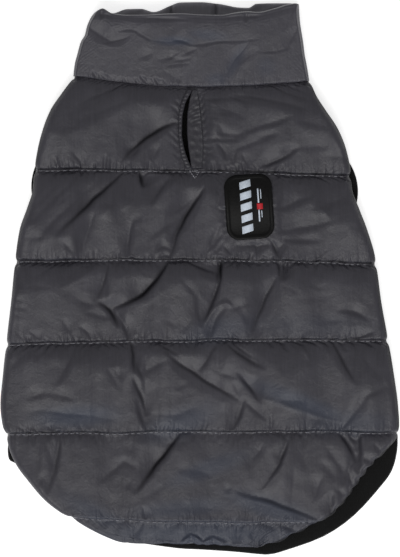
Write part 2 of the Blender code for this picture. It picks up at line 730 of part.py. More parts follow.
def make_collar():
    """Rings up the outside from the neck seam, over the mouth's fold and down the inside."""
    side_left = smooth_curve(column(COLLAR_SIDES, "share"), column(COLLAR_SIDES, "left"))
    side_right = smooth_curve(column(COLLAR_SIDES, "share"), column(COLLAR_SIDES, "right"))
    mouth_upper = smooth_curve(column(MOUTH, "x"), column(MOUTH, "upper"))
    mouth_lower = smooth_curve(column(MOUTH, "x"), column(MOUTH, "lower"))
    walls, hollows, swells = (
        smooth_curve(column(COLLAR_BANDS, "share"), column(COLLAR_BANDS, name))
        for name in ("wall", "hollow", "swell")
    )
    full = COLLAR_BANDS[4].wall

    def across(left, right):
        inner = [
            lerp(left + COLLAR_ROUND, right - COLLAR_ROUND, i / COLLAR_ACROSS)
            for i in range(1, COLLAR_ACROSS)
        ]
        return (
            [left + d for d in COLLAR_SIDE_STEPS] + inner + [right - d for d in reversed(COLLAR_SIDE_STEPS)]
        )

    def ring(share, depth):
        """Points round the tube; depth is 0 on the outside and 1 on the inside."""
        left, right = side_left(share), side_right(share)
        wall, hollow, swell = walls(share), hollows(share), swells(share)
        middle = full + hollow / 2.0
        inset = depth * 1.1 * full
        xs = across(left + inset, right - inset)
        points = []
        for upper in (True, False):
            for x in xs if upper else xs[-2:0:-1]:
                u = 2.0 * (x - left) / (right - left) - 1.0
                rounded = min(1.0, min(x - left - inset, right - inset - x) / COLLAR_ROUND)
                edge = math.sqrt(1.0 - (1.0 - rounded) ** 2)
                if upper:
                    mouth = mouth_upper(x)
                    reach = hollow / 2.0 + (1.0 - depth) * (wall + swell)
                else:
                    mouth = mouth_lower(x)
                    reach = hollow / 2.0 + (1.0 - depth) * full
                    mouth = lerp(mouth_upper(x), mouth, edge)
                start = seam_y(SEAMS[0], u) + GAP
                y = lerp(start, mouth, share)
                z = middle + reach * edge * (1.0 if upper else -1.0)
                if upper and depth == 0.0:
                    z -= crease_depth(COLLAR_CREASES, x, y) * edge * eased(share / 0.1)
                points.append((x, y, z))
        return points

    rings = [ring(band.share, 0.0) for band in COLLAR_BANDS]
    rings.append(ring(0.99, 0.22))
    rings.append(ring(1.0, 0.5))
    rings.append(ring(0.99, 0.8))
    rings += [ring(share, 1.0) for share in COLLAR_INSIDE_SHARES]
    return closed_loft("collar", rings, SHELL)


def centre_on_floor(pieces):
    """Hangs the pieces on one empty, set so that the origin is the middle of the coat's box."""
    points = [v.co for piece in pieces for v in piece.data.vertices]
    middle_x = (min(p.x for p in points) + max(p.x for p in points)) / 2.0
    middle_y = (min(p.y for p in points) + max(p.y for p in points)) / 2.0
    coat = bpy.data.objects.new("dog_winter_coat", None)
    bpy.context.scene.collection.objects.link(coat)
    coat.location = (-middle_x, -middle_y, 0.0)
    for drawn in bpy.data.objects:
        if drawn.type == "MESH":
            drawn.parent = coat


def main():
    for old in list(bpy.data.objects):
        bpy.data.objects.remove(old)
    panel = make_back_panel()
    surface = surface_of(panel)
    pieces = [panel, make_collar(), make_belly_panel(), make_lining(), make_patch(surface)]
    pieces += [make_binding(hole) for hole in ARMHOLES]
    pieces.append(make_welt(
        "leash_slit_welt_left", surface, lambda y: slit_middle(y) - SLIT_HALF_WIDTH, welt_left
    ))
    pieces.append(make_welt(
        "leash_slit_welt_right", surface, lambda y: slit_middle(y) + SLIT_HALF_WIDTH, welt_right
    ))
    centre_on_floor(pieces)


main()
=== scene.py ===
"""The dog winter coat's look: the padded shell and collar as simulated cloth, their trims and stitching,
the studio and the camera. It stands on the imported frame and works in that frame's metres.

As in the part's source, pieces are drawn in millimetres, with y from the tail tip to the collar, and
place() moves them to the coat's own frame.
"""

import math
from collections import namedtuple

import bmesh
import bpy
import numpy as np
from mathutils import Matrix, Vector
from mathutils.bvhtree import BVHTree
from mathutils.geometry import delaunay_2d_cdt


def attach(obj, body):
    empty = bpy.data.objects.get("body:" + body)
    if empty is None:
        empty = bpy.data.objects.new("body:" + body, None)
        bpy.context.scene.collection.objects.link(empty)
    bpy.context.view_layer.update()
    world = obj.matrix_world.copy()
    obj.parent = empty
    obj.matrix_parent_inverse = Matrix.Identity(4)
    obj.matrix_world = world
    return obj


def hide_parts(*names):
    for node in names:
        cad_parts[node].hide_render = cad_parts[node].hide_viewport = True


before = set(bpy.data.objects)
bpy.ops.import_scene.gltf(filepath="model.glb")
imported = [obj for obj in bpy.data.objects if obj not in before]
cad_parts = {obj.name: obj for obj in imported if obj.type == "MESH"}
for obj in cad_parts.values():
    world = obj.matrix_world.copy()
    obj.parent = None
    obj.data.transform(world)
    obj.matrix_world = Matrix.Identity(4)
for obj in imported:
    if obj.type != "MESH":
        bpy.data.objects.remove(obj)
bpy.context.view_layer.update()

SHIFT = np.array([-0.149, -174.825, 0.0])  # from the drawing to the coat's frame


def named_rows(kind, fields, rows):
    """Rows of numbers with named columns."""
    row_type = namedtuple(kind, fields)
    return [row_type(*row) for row in rows]


# ---------------------------------------------------------------- the coat's sizes, in millimetres

GAP = 0.3  # the width of the steps in the underside where the turned sides end
OVER_BELLY, OVER_LINING = 2.8, 2.1  # heights over the belly panel and over the tail lining
WRAP = 18.0  # how far the panel turns under at each side
FOLD_ROUND, SIDE_ROUND = 12.0, 6.5  # how far in from a side the mesh is finer, and the top is round
FOLD_MIDDLE, ARMHOLE_EDGE, HEM_EDGE = 5.5, 5.2, 3.2  # how high a side's outermost point is
ARMHOLE_Y, ARMHOLE_REACH = 233.0, 42.0  # the stretch of the sides beside the armholes
SEAM_NOTCH, NOTCH_REACH = 0.9, 2.2  # how far a seam draws the sides in, and over what length

BODY_OUTLINE = named_rows("Outline", "y left right", (
    (301.0, -79.8, 69.2), (290.4, -87.3, 73.3), (281.0, -93.6, 79.1), (268.4, -98.6, 87.3),
    (255.8, -101.9, 92.3), (242.2, -104.2, 95.2), (230.6, -105.0, 96.2), (219.2, -108.4, 100.2),
    (205.4, -113.1, 105.5), (186.5, -116.0, 111.0), (161.3, -118.3, 114.2), (133.9, -121.7, 119.2),
    (114.0, -123.7, 122.3), (95.1, -125.3, 124.8), (82.5, -124.0, 125.6), (77.5, -122.4, 125.6),
    (66.8, -119.8, 117.8), (57.3, -115.4, 108.6), (47.9, -108.2, 101.4), (35.3, -96.9, 91.8),
    (22.7, -79.0, 78.2), (16.4, -67.7, 65.2), (10.1, -52.6, 52.0), (5.0, -37.0, 38.0),
))

# Each seam, and the channel below it: how high its cloth stands right beside the seam, how steeply it
# climbs to the crest and falls from it, and how high it still is at the next seam.
SEAMS = named_rows("Seam", "name y_left y_middle y_right groove wall climb fall lip rows", (
    ("neck", 302.4, 295.5, 299.4, 11.0, 2.4, 0.2, 0.24, 2.2, 60),
    ("quilt_1", 242.9, 242.2, 239.1, 10.4, 3.0, 0.18, 0.22, 1.9, 60),
    ("quilt_2", 185.2, 186.2, 183.6, 11.2, 3.2, 0.16, 0.15, 1.9, 54),
    ("quilt_3", 132.9, 135.5, 135.5, 11.6, 3.2, 0.18, 0.08, 1.9, 62),
    ("quilt_4", 76.5, 78.1, 77.5, 11.2, 2.0, 0.035, -0.03, 1.2, 60),
    ("quilt_5", 24.6, 21.0, 22.1, 8.8, 0.5, 0.07, 0.0, 0.7, 20),
    ("hem", 7.6, 6.7, 5.5, 7.0, 0.0, 0.0, 0.0, 0.0, 0),
))

# Where each channel is highest: (x, y) along the line at which the cloth turns from climbing to falling.
CRESTS = (
    ((-105, 262), (-97, 266), (-84, 266), (-70, 270), (-60, 276), (-50, 281), (-40, 285), (-20, 286),
     (-12, 285), (2, 284), (15, 283), (22, 286), (40, 282), (56, 278), (62, 272), (76, 268), (90, 255),
     (95, 250)),
    ((-108, 208), (-97, 203), (-86, 201), (-66, 216), (-56, 218), (-41, 222), (-30, 221), (-12, 238),
     (-4, 234), (8, 228), (14, 226), (47, 226), (53, 232), (66, 225), (75, 219), (83, 212), (108, 203)),
    ((-119, 160), (-104, 168), (-86, 170), (-60, 182), (-56, 177), (-33, 178), (-25, 170), (-12, 173),
     (0, 176), (10, 174), (30, 174), (48, 176), (52, 170), (62, 168), (80, 173), (95, 173), (110, 168),
     (117, 160)),
    ((-125, 127), (-95, 127), (-84, 124), (-78, 120), (-38, 119), (-33, 129), (-20, 130), (0, 128),
     (8, 124), (14, 124), (22, 129), (33, 128), (45, 121), (56, 112), (65, 118), (75, 122), (88, 122),
     (98, 109), (122, 102)),
    ((-120, 50), (-60, 40), (0, 36), (60, 38), (100, 48), (125, 60)),
    ((-80, 20), (0, 18), (80, 18)),
)

# The creases: both ends (x0 < x1, or y0 < y1 where they are equal), how far the middle bows up, how deep
# the trough is (less than 0 for a ridge), and how far it reaches above and below its line.
Fold = namedtuple("Fold", "x0 y0 x1 y1 bow depth above below")
FOLDS = [Fold(*row) for row in (
    # the puckers beside the slit
    (2, 281.6, 13, 280, 0.2, 0.42, 3.5, 1.6),
    (1.8, 279.2, 22, 277.6, 0.2, 0.54, 4.5, 1.6),
    (2, 276.9, 15, 275.3, 0.1, 0.48, 4, 1.5),
    (2, 274.2, 10, 272.4, 0.1, 0.36, 3, 1.6),
    (2, 284.8, 12, 282, 0.2, 0.3, 2.5, 2),
    (2, 258.5, 9, 257.6, 0, 0.36, 3, 2),
    (2, 254.4, 8, 253.6, 0, 0.36, 3, 2),
    (2, 250.2, 7, 249.6, 0, 0.3, 2.5, 2),
    (-21.5, 272.4, -12, 263.4, 0.6, 0.42, 3.5, 2),
    (-22, 269, -12.5, 258.5, 0.6, 0.48, 4, 2),
    (-18.5, 274.6, -12.5, 268, 0.4, 0.36, 3, 2),
    (-20, 262.5, -12, 252.5, 0.4, 0.3, 2.5, 2),
    (-15.6, 287, -11.4, 283.2, 0.2, 0.36, 3, 1.6),
    (-18.6, 284.4, -12, 277.6, 0.2, 0.36, 3, 1.6),
    (-16.4, 279, -12.6, 275.4, 0.2, 0.36, 3, 1.6),
    (-17.5, 256, -10.5, 248, 0.2, 0.3, 2.5, 1.6),
    # channel 1, left of the slit
    (-80, 281.5, -44, 299, 0.5, 0.83, 6.4, 5),
    (-60, 290.5, -46, 298, 0, 0.52, 3.5, 1.6),
    (-84, 277.5, -62, 286, 0, 0.38, 4.8, 3.5),
    (-78, 272.5, -42, 287, 0.8, 0.6, 8, 6),
    (-97, 268.8, -74, 270, 0, 0.38, 6.4, 3),
    (-49, 249, -12, 274.5, 3.4, 3.5, 24, 5.5),
    (-44.5, 249.5, -37, 259, 0, 1.5, 7.5, 3),
    (-31, 249.5, -24, 258.5, 0, 0.68, 6.4, 3),
    (-27, 272, -21.5, 285, 0, 0.3, 4.8, 2.5),
    (-57, 261, -40, 277, 0, 0.3, 16, 7),
    (-80.5, 256, -73, 246, 0, 0.52, 6.4, 4),
    # channel 1, right of the slit
    (-1, 287.2, 24, 288.6, 0, 0.75, 7.2, 2.5),
    (18, 289.8, 33, 285.2, 0.3, 0.6, 4, 2),
    (19, 290.8, 68, 280, 1.6, 1.6, 8, 5),
    (45, 296.5, 73, 286, -1.2, 0.83, 6.4, 3),
    (55, 296, 74, 289.3, 0, 0.45, 3, 2.5),
    (9, 284, 30, 275.5, 0, 0.9, 8, 4),
    (24, 265.4, 61, 277, 0.4, 1.3, 14, 2.5),
    (35, 263, 50, 266.4, 0, 0.6, 4.8, 1.6),
    (10.5, 273, 15.5, 263.5, 1, 0.4, 4.8, 4),
    (11, 266.8, 31, 264.6, -0.5, 0.8, 6, 4),
    (0, 261.6, 27, 262, 0.4, 0.98, 8, 2),
    (18, 254.4, 49, 266.4, -0.3, 0.75, 6.4, 2.5),
    (58, 274, 82, 269, 0.4, 0.75, 6.4, 5),
    (37, 244.6, 63, 257, -0.6, 1.9, 9.5, 2.6),
    (39, 243.8, 53, 250.8, 0, 0.9, 6, 1.6),
    (50, 254.6, 61, 256.8, 0, 0.6, 4, 3),
    (55, 257, 86, 257, 0.5, 0.75, 11.2, 4),
    (78, 252, 95, 249.6, 0, 0.5, 9.6, 3.5),
    (9.3, 260.8, 17.2, 249, 2, 1.2, 9, 3),
    (3.5, 260, 9.5, 250, 1, 0.75, 6.4, 3),
    (20.8, 246.5, 23, 256.5, 0, 0.6, 6.4, 3),
    (27, 253.8, 31, 244.8, 0, 0.52, 6.4, 3),
    # channel 2, left of the patch
    (-91, 201, -46, 244, 0.5, 3.0, 13, 3.6),
    (-101, 201.5, -63, 237, 0.6, 0.98, 6.5, 3.5),
    (-106, 208.5, -76, 239.5, 0.6, 0.68, 4.8, 2.8),
    (-104, 218, -86, 236.5, 0.3, 0.52, 3.5, 2.2),
    (-90, 220, -74, 236, 0, 0.38, 2.5, 2),
    (-101, 199.5, -88, 213, 0, 0.75, 5, 3),
    (-112, 200.6, -93, 201, 0, 0.68, 8, 4),
    (-88, 200.5, -79.5, 188.5, 1.2, 0.83, 5.5, 4),
    (-73.5, 187.5, -65, 218, 1.2, 1.4, 8, 4),
    (-62, 213, -54, 220.5, 0, -0.6, 7, 9),
    (-50, 217.5, -41, 224.5, 0, -0.6, 7, 9),
    (-31, 219.5, -11, 239, 0, -0.8, 5, 10),
    (-37.6, 244, -35.2, 231.5, 0, 3.1, 13, 3),
    (-35, 240, -17, 241.4, 0, -1.4, 1.5, 8),
    (-31, 221, -19.5, 238.5, 0, 1.6, 14, 3),
    (-45.5, 187.5, -41.5, 214, 0.6, 1.4, 7, 3.5),
    (-43, 210.2, -35.5, 214.2, 0, 0.6, 4.8, 2),
    (-21.5, 213.2, -1.5, 227.5, -0.5, 0.9, 7.2, 2.2),
    (-33.5, 198, -11.5, 214, 1, 0.83, 7.2, 4.5),
    (-19.2, 187, -13, 206, 0.6, 1.9, 9.5, 4.2),
    (-17.8, 197, 3.4, 232.5, 0.8, 3.4, 14, 5.5),
    (-28, 190.5, -17.5, 193, 3.2, 0.9, 6, 2.5),
    (-27, 187.5, -17, 187.5, 2, 0.75, 5, 2),
    # channel 2, round and right of the patch
    (2, 188.5, 13, 209.5, -1, 0.83, 5.5, 3),
    (7, 193, 14.5, 204, 0, 0.83, 5.5, 2),
    (10, 190.5, 15.5, 198.5, 0, 0.68, 4.5, 2),
    (15, 200, 21, 189.5, -1.5, 0.9, 6, 3),
    (17, 197, 46, 196, 0, 1.4, 7, 6),
    (34.5, 198.5, 37, 189, 0, 0.83, 5.5, 2.5),
    (44.5, 199.5, 51, 188, 0, 1.8, 9, 3),
    (45, 219, 74, 229, -1.6, 1.4, 11.2, 4),
    (46, 204.3, 86, 211, -0.5, 1.5, 14, 4.5),
    (49, 200, 77, 198.4, 0, 1.1, 10, 2.6),
    (67, 218, 98, 229, -1.2, 0.75, 8, 5),
    (74, 220, 82.5, 205, 2, -0.6, 5, 6),
    (90, 222, 98, 226, 0, 0.9, 8, 4),
    (92, 209, 106, 203.5, 0, 0.52, 8, 5),
    # channel 3, left
    (-88, 168.5, -59, 183, 0, -0.7, 5, 9),
    (-105, 174, -88, 185, 0, 0.38, 6.4, 3),
    (-108, 170.5, -92, 168, 0, 0.52, 6.4, 4),
    (-66.5, 159.5, -58, 185, -1.5, 1.9, 9.5, 9),
    (-64.5, 160.8, -50.3, 144, 2.6, 3.1, 13, 3.6),
    (-52, 153.5, -43.4, 135, 0.8, 1.6, 8, 2.6),
    (-80, 163, -60, 158, -1, 0.8, 6.4, 8),
    (-72, 153, -55, 150.3, 0, 0.83, 5.5, 3),
    (-57, 155.6, -18.5, 190, -6.6, 3.8, 16, 3.6),
    (-37, 179.8, -27, 175.5, 0, 0.4, 6, 3),
    (-86, 150, -80.5, 140, 0, 0.75, 6.4, 4),
    (-76, 146, -65.5, 136, 0, 0.75, 6.4, 4),
    (-106, 142, -100.5, 134.5, 1, 0.9, 6, 3),
    (-110, 138.5, -106.5, 134, 0.5, 0.68, 4.5, 2.5),
    (-118, 162, -108, 160.5, 0, 0.52, 4.8, 3),
    (-118, 157, -107, 155.5, 0, 0.6, 4.8, 3),
    (-118, 152, -109, 151, 0, 0.45, 4.8, 3),
    (-13, 176.4, 0, 161, 0, 0.6, 4.8, 3),
    (-1.6, 165.5, 1.8, 143.5, -1, 1.4, 7, 9),
    (-11, 140.5, -5, 150.5, 0, 0.52, 8, 4),
    (-24, 149, -12, 144.5, 0, 0.38, 8, 5),
    (-44, 153, -18, 169, 0, -0.5, 6, 9),
    # channel 3, right
    (12, 172, 13.3, 189, 0, 3.6, 15, 2.6),
    (1.8, 147, 13.2, 179, -1.2, 2.6, 11, 3.4),
    (2.5, 142.5, 14.5, 160, 2, -1.1, 2.2, 2.2),
    (12, 157.8, 21, 157.2, 1.8, -1.1, 2.2, 2.2),
    (5.8, 135, 16.5, 157.5, 2, 1.6, 8, 3.4),
    (-9, 186, 13, 177.6, 0, 1.4, 7, 2.4),
    (31, 138, 49, 177.5, 0.6, 2.4, 11.2, 7),
    (34.5, 137, 41, 147, 0, 0.52, 4.8, 3),
    (31, 160, 44, 166, 0, 0.52, 8, 5),
    (50.3, 188, 51, 173, 0, 1.9, 9.5, 1.8),
    (53.2, 188, 53.3, 173, 0, 1.7, 8.5, 1.8),
    (19, 155.2, 34, 160, 0.3, 0.75, 5, 2),
    (24.6, 158.6, 31.2, 146, 0, 0.6, 4.8, 3),
    (50.5, 171.8, 63, 165, 0, 0.68, 6.4, 4.5),
    (85.5, 154.2, 107, 148, 2.6, 1.4, 7, 2.8),
    (74, 148, 92, 149, 0, 0.45, 8, 4.5),
    (60, 161.5, 84, 163, 0, 0.38, 8, 4.5),
    (66, 171, 82, 168, 0, 0.38, 6.4, 3),
    (88, 169.5, 100, 180, 0, 0.45, 8, 4.5),
    (84, 135, 110, 141, -0.6, 1.5, 7.5, 2.7),
    # channel 4, left
    (-91.5, 106, -78, 133, -1, 1.6, 9.6, 4.5),
    (-118, 117, -104, 131.5, 1, 0.9, 6, 3),
    (-112, 120.5, -102.5, 131, 0, 0.6, 4, 2.4),
    (-105, 122, -98, 131, 0, 0.45, 3, 2.4),
    (-108.5, 98.6, -96, 103.8, 0.4, 0.6, 6.4, 3),
    (-98.5, 103.8, -75, 98, 0.3, 0.6, 6.4, 3),
    (-113, 92, -48, 86, 0.8, 0.8, 9, 10),
    (-57.5, 119, -49, 103.5, 0, 0.75, 5, 3),
    (-53, 119, -49, 110, 0, 0.68, 4.5, 2),
    (-42.5, 114, -32.3, 88.5, 0.6, 2.4, 11, 12),
    (-39.8, 101, -33.6, 80, 0, 1.5, 8, 2.4),
    (-42.2, 138, -40.6, 116, 0, 2.6, 11, 4),
    (-40.8, 129, -34.8, 110.5, -0.6, 1.7, 8.5, 4),
    (-36.5, 115, -18.5, 124, 0.3, 0.9, 9.6, 4.5),
    (-23, 129.4, 28.5, 96.6, -1.6, 2.5, 14, 8),
    (-25.5, 133.2, -13, 126.8, 0, 0.9, 7, 2.5),
    (-0.5, 115.5, 10.5, 134, 0, 1.8, 9, 4.5),
    (19, 78, 28, 100.5, -1.6, 1.7, 14, 2.2),
    (-16, 105, -7, 108.8, 0, 0.6, 4.8, 2.5),
    (-34, 89.6, -11, 90.2, -1, 0.4, 4.8, 8),
    (-17, 87.8, 0, 95, 0, 0.4, 4.8, 6),
    (-96, 83, -90.5, 78, 0, 0.6, 4.8, 3.5),
    # channel 4, right
    (16.5, 133.6, 42, 117.6, -0.6, 1.7, 9, 2.4),
    (20.5, 134, 37, 123.4, -0.3, 0.75, 5, 1.8),
    (9.3, 129, 12.5, 116, 0, 1.0, 7, 9),
    (8, 117.6, 23.5, 112.2, 0, 0.98, 8, 4.5),
    (22, 116, 32, 110.8, 0, 0.75, 5, 2.3),
    (25, 114, 38.4, 97.6, 0.4, 2.0, 9, 1.8),
    (27.5, 99, 42.5, 85.5, 0, 0.83, 6.4, 3.4),
    (20.5, 110, 24.5, 100.5, 1, 0.68, 4.8, 2.5),
    (29, 104.4, 93, 83.6, -1.5, -0.4, 2.4, 2.4),
    (50, 99, 69, 96.8, 0, 0.45, 8, 3.5),
    (84, 136, 99.5, 108, -1, 2.2, 12.8, 5),
    (100.5, 128, 113.5, 111, 0, 0.68, 8, 5),
    (99, 98, 119, 108, 0.6, 0.83, 6.4, 2.4),
    (90.5, 82.5, 107, 103.5, 0, 1.3, 5, 5),
    (60, 134, 68.5, 123, 1, -0.8, 3, 3),
    (75.5, 134, 81.5, 123, 1.2, -0.8, 3, 3),
    (72, 79, 77, 87, 0, -0.6, 3, 3),
    # channel 5, left
    (-101.6, 48, -100.4, 77.5, 0, 0.9, 8, 5),
    (-98.8, 78, -90.6, 53, 0, 1.0, 8, 4),
    (-97, 36.5, -86.8, 79, -1.3, 1.8, 8, 3),
    (-102, 44.5, -95, 54, 0, 0.68, 4.8, 3),
    (-92, 42, -56, 37, 0, 0.25, 12.8, 12),
    (-64, 45.5, -44.5, 61.6, 0.6, 1.0, 7.5, 4),
    (-49.5, 61.4, -39, 55, 0, 0.8, 5.5, 3.4),
    (-42.3, 61, -41.5, 77.5, 0, 0.45, 8, 5),
    (-41.5, 39.5, -9.4, 81, 0, 3.4, 24, 3.6),
    (-47, 42, -42, 49, 0, 0.38, 6.4, 3.5),
    (-35, 32, -33.5, 22, 0, 0.75, 5, 2.5),
    (-42.5, 10.5, -35, 21.5, 0, 0.75, 5, 3),
    (-43, 32.5, -19.5, 45.5, 0, 0.45, 8, 4),
    (-15, 54.8, 10, 49.6, 1.4, 0.68, 9.6, 5),
    (-24, 70, -6, 72.5, 0, 0.6, 6.4, 5),
    (-34, 30.4, 27, 29.6, 0, 0.25, 8, 6),
    # channel 5, right
    (29.5, 56, 41, 71, 0, 0.68, 8, 4.5),
    (37.5, 41.8, 56.4, 76.5, -2.8, 2.0, 10, 2.2),
    (50.3, 57, 54, 73, 0, 0.9, 6, 1.8),
    (41, 43, 50, 51, 0, 0.52, 6.4, 3.5),
    (21, 41.2, 77.5, 22.6, 1.2, 1.9, 15, 1.4),
    (15, 40.5, 21, 44, 0, 0.52, 4.8, 2.7),
    (28, 18.5, 31.5, 38, 0, 0.83, 9.6, 6),
    (57.3, 30, 60.6, 60, 0, 1.1, 8, 9),
    (65.5, 54, 66.5, 76, 0, 0.6, 11.2, 6),
    (71, 34, 77.5, 53, 0, 1.0, 9, 5.5),
    (80, 69, 90.5, 52, 0, 0.83, 6.4, 4.5),
    (76, 61, 86, 47.5, 0, 0.75, 6.4, 4),
    (86.6, 79.5, 98.8, 58.5, 1.3, 2.0, 10, 2.2),
    (99.5, 50, 100.6, 80, 0, 1.8, 9, 2.8),
    (88, 43.5, 98.8, 65.5, 0, 1.2, 7, 2.6),
    (94, 55.5, 95.5, 38.5, 0, 1.6, 7, 3),
    (81.2, 23, 83.3, 41.5, 0, 1.8, 8, 2.2),
    (87, 43, 91.5, 35, 0, 0.9, 6, 2.7),
    (101.5, 63.5, 108.5, 56, 1.5, 0.9, 6, 2.5),
    (94, 78, 99, 70.5, 0, 0.98, 6.5, 2.4),
    (109, 72, 116, 62, 0, 0.6, 4.8, 3),
    # the hem strip, with the ruffle at its middle
    (-13, 7.6, -4.4, 13.2, 0, -1.5, 1.5, 1.7),
    (-6, 13.4, 3, 7.4, 0, -1.5, 1.5, 1.7),
    (1.6, 7.6, 9.6, 12.2, 0, -1.3, 1.5, 1.7),
    (7.6, 12, 17.6, 6.8, 0, -1.3, 1.5, 1.7),
    (-26, 7.6, -12, 8.2, 0.3, -0.7, 1.4, 1.4),
    (39, 21.5, 48.5, 16, 0, 0.9, 6, 2.7),
    (50, 19, 63, 15, 0.8, 0.98, 6.5, 2.7),
    (23.8, 5, 24.3, 19.5, 0, 0.83, 5.5, 2.7),
    (32.5, 9, 35.5, 22, 0, 0.68, 4.8, 2.5),
)]

# Rows of small puckers beside a seam: the seam, the side (1 above it, -1 below), where they run from and
# to, their spacing, their length, depth and slant.
Gather = namedtuple("Gather", "seam side x0 x1 pitch length depth slant")
GATHERS = [Gather(*row) for row in (
    (1, 1, -96, -66, 4.4, 8, 1.1, -0.25),
    (1, 1, -68, -40, 3.6, 9, 1.3, 0.1),
    (1, 1, -40, -16, 5, 5, 0.8, 0),
    (1, 1, 3, 34, 4, 6, 1.0, -0.1),
    (1, 1, 36, 60, 5, 5, 0.9, 0.6),
    (1, -1, -100, -60, 4.5, 5, 0.6, 0.2),
    (1, -1, 50, 92, 6, 5, 0.6, 0.2),
    (2, 1, -100, -76, 4.0, 5, 0.8, -0.2),
    (2, 1, -72, -48, 3.8, 6, 1.0, 0),
    (2, 1, -44, -26, 4.4, 4.5, 0.8, 0),
    (2, 1, -2, 52, 5, 5, 0.9, 0.2),
    (2, 1, 56, 108, 8, 4, 0.5, 0.3),
    (2, -1, -54, -36, 3.6, 6, 0.8, 0),
    (2, -1, -20, -6, 3.6, 5, 0.8, 0),
    (2, -1, 16, 110, 5, 5, 0.6, 0.15),
    (3, 1, -112, -92, 4, 6, 1.0, -0.4),
    (3, 1, -90, -60, 3.6, 5, 0.8, -0.3),
    (3, 1, -56, 30, 6, 4, 0.5, 0.1),
    (3, 1, 40, 100, 7, 4, 0.5, 0.3),
    (3, -1, -118, -86, 4.2, 7, 1.1, 0.6),
    (3, -1, -86, -50, 4, 4, 0.5, 0.2),
    (3, -1, 42, 116, 7.5, 6, 1.1, -0.5),
    (4, 1, -110, -60, 6, 4, 0.6, -0.3),
    (4, 1, -24, 20, 4.5, 5, 0.8, 0.4),
    (4, 1, 66, 100, 6, 5, 0.8, 0.4),
    (4, -1, -110, -60, 4, 6, 0.8, 0),
    (4, -1, -6, 40, 4.2, 6, 0.8, 0.3),
    (4, -1, 44, 86, 4.4, 4, 0.8, 0.2),
    (5, 1, 20, 60, 6, 5, 0.6, 0.2),
    (5, -1, -66, 40, 9, 7, 0.4, 0.3),
)]

SLIT_LINE = named_rows("SlitPoint", "y middle left_edge right_edge", (
    (293.4, -4.6, -7.8, -1.9), (284.1, -7.9, -11.8, -0.3), (275.9, -9.2, -13.2, 0.7),
    (267.1, -9.4, -13.2, 1.6), (258.3, -8.5, -12.6, 2.0), (250.7, -6.8, -11.2, 1.8),
    (244.6, -5.2, -8.6, 1.2),
))
SLIT_TOP, SLIT_BOTTOM = 292.0, 246.5
SLIT_GAPS = (  # y, half the opening's width
    (246.5, 0.5), (250.0, 1.0), (257.0, 1.6), (265.0, 1.9), (274.0, 1.8), (283.0, 1.5), (292.0, 0.4),
)
LEFT_LIP, RIGHT_LEDGE = 12.2, 11.4  # how high the panel is on either side of the slit

PATCH_X, PATCH_Y, PATCH_TURN = 31.2, 219.9, math.radians(3.8)
PATCH_WIDTH, PATCH_LENGTH, PATCH_CORNER = 30.0, 41.0, 8.0
# How far round the patch the panel is smooth, its height under the patch's middle, and how much lower it
# is at the patch's upper end.
PATCH_BED, PATCH_CREST, PATCH_DROP = 5.0, 16.6, 4.6


# ---------------------------------------------------------------- small tools


def curve(xs, ys):
    """A curve through the points that never overshoots them, for arrays of x."""
    xs, ys = np.asarray(xs, float), np.asarray(ys, float)
    if xs[0] > xs[-1]:
        xs, ys = xs[::-1], ys[::-1]
    steps = np.diff(ys) / np.diff(xs)
    before, after = steps[:-1], steps[1:]
    total = np.where(before * after > 0, before + after, 1.0)
    inner = np.where(before * after > 0, 2.0 * before * after / total, 0.0)
    slopes = np.concatenate([steps[:1], inner, steps[-1:]])

    def value(x):
        x = np.clip(x, xs[0], xs[-1])
        i = np.clip(np.searchsorted(xs, x, side="right") - 1, 0, len(xs) - 2)
        width, rise = xs[i + 1] - xs[i], ys[i + 1] - ys[i]
        t = (x - xs[i]) / width
        a, b = slopes[i] * width - rise, rise - slopes[i + 1] * width
        return ys[i] + t * rise + t * (1 - t) * (a * (1 - t) + b * t)

    return value


def column(table, name):
    """One of a table's named columns."""
    return [getattr(row, name) for row in table]


def eased(share):
    """A smooth step from 0 to 1."""
    share = np.clip(share, 0.0, 1.0)
    return share * share * (3.0 - 2.0 * share)


def ripple(x, y, pitch, seed):
    """Smooth uneven waves, about one for each pitch, between -1 and 1."""
    total = 0.0
    for i in range(5):
        a = 2.4 * i + 1.7 * seed
        scale = 2.0 * math.pi / pitch * (0.62 + 0.23 * i)
        total = total + np.sin(scale * (x * math.cos(a) + y * math.sin(a)) + 3.1 * i + 5.3 * seed)
    return total / 3.2


def waves(x, pitch, seed):
    """The uneven waves of ripple along a line."""
    return ripple(x, 0.0 * x, pitch, seed)


def share_across(x, left, right):
    """-1 at the left end, 1 at the right one."""
    return 2.0 * (x - left) / (right - left) - 1.0


CREASE_FLOOR = 0.3  # half the width of a crease's rounded bottom
CREASE_STEP, STEP_WIDTH = 0.34, 0.8  # the steep foot of the side below: its share of the depth, its width


def crease(off, above, below):
    """1 on the line: above it the cloth swells away gently, below it with a steep foot at first."""
    away = np.sqrt(off**2 + CREASE_FLOOR**2) - CREASE_FLOOR
    over = np.maximum(0.0, 1.0 - away / above) ** 1.25
    under = (1.0 - CREASE_STEP) * np.maximum(0.0, 1.0 - away / below) ** 1.25
    return np.where(off < 0.0, over, under + CREASE_STEP * np.exp(-away / STEP_WIDTH))


def along_folds(folds, x, y):
    """Each crease with the points near it, how far along its line they are and how far off it."""
    wobble = ripple(x, y, 19.0, 91).ravel()
    for f in folds:
        dx, dy = f.x1 - f.x0, f.y1 - f.y0
        length = math.hypot(dx, dy)
        s = (((x - f.x0) * dx + (y - f.y0) * dy) / length**2).ravel()
        near = np.flatnonzero((s > 0.0) & (s < 1.0))
        s, px, py = s[near], x.ravel()[near], y.ravel()[near]
        off = ((px - f.x0) * dy - (py - f.y0) * dx) / length + 4.0 * f.bow * s * (1.0 - s)
        yield f, near, np.sin(math.pi * s), off + 0.4 * wobble[near]


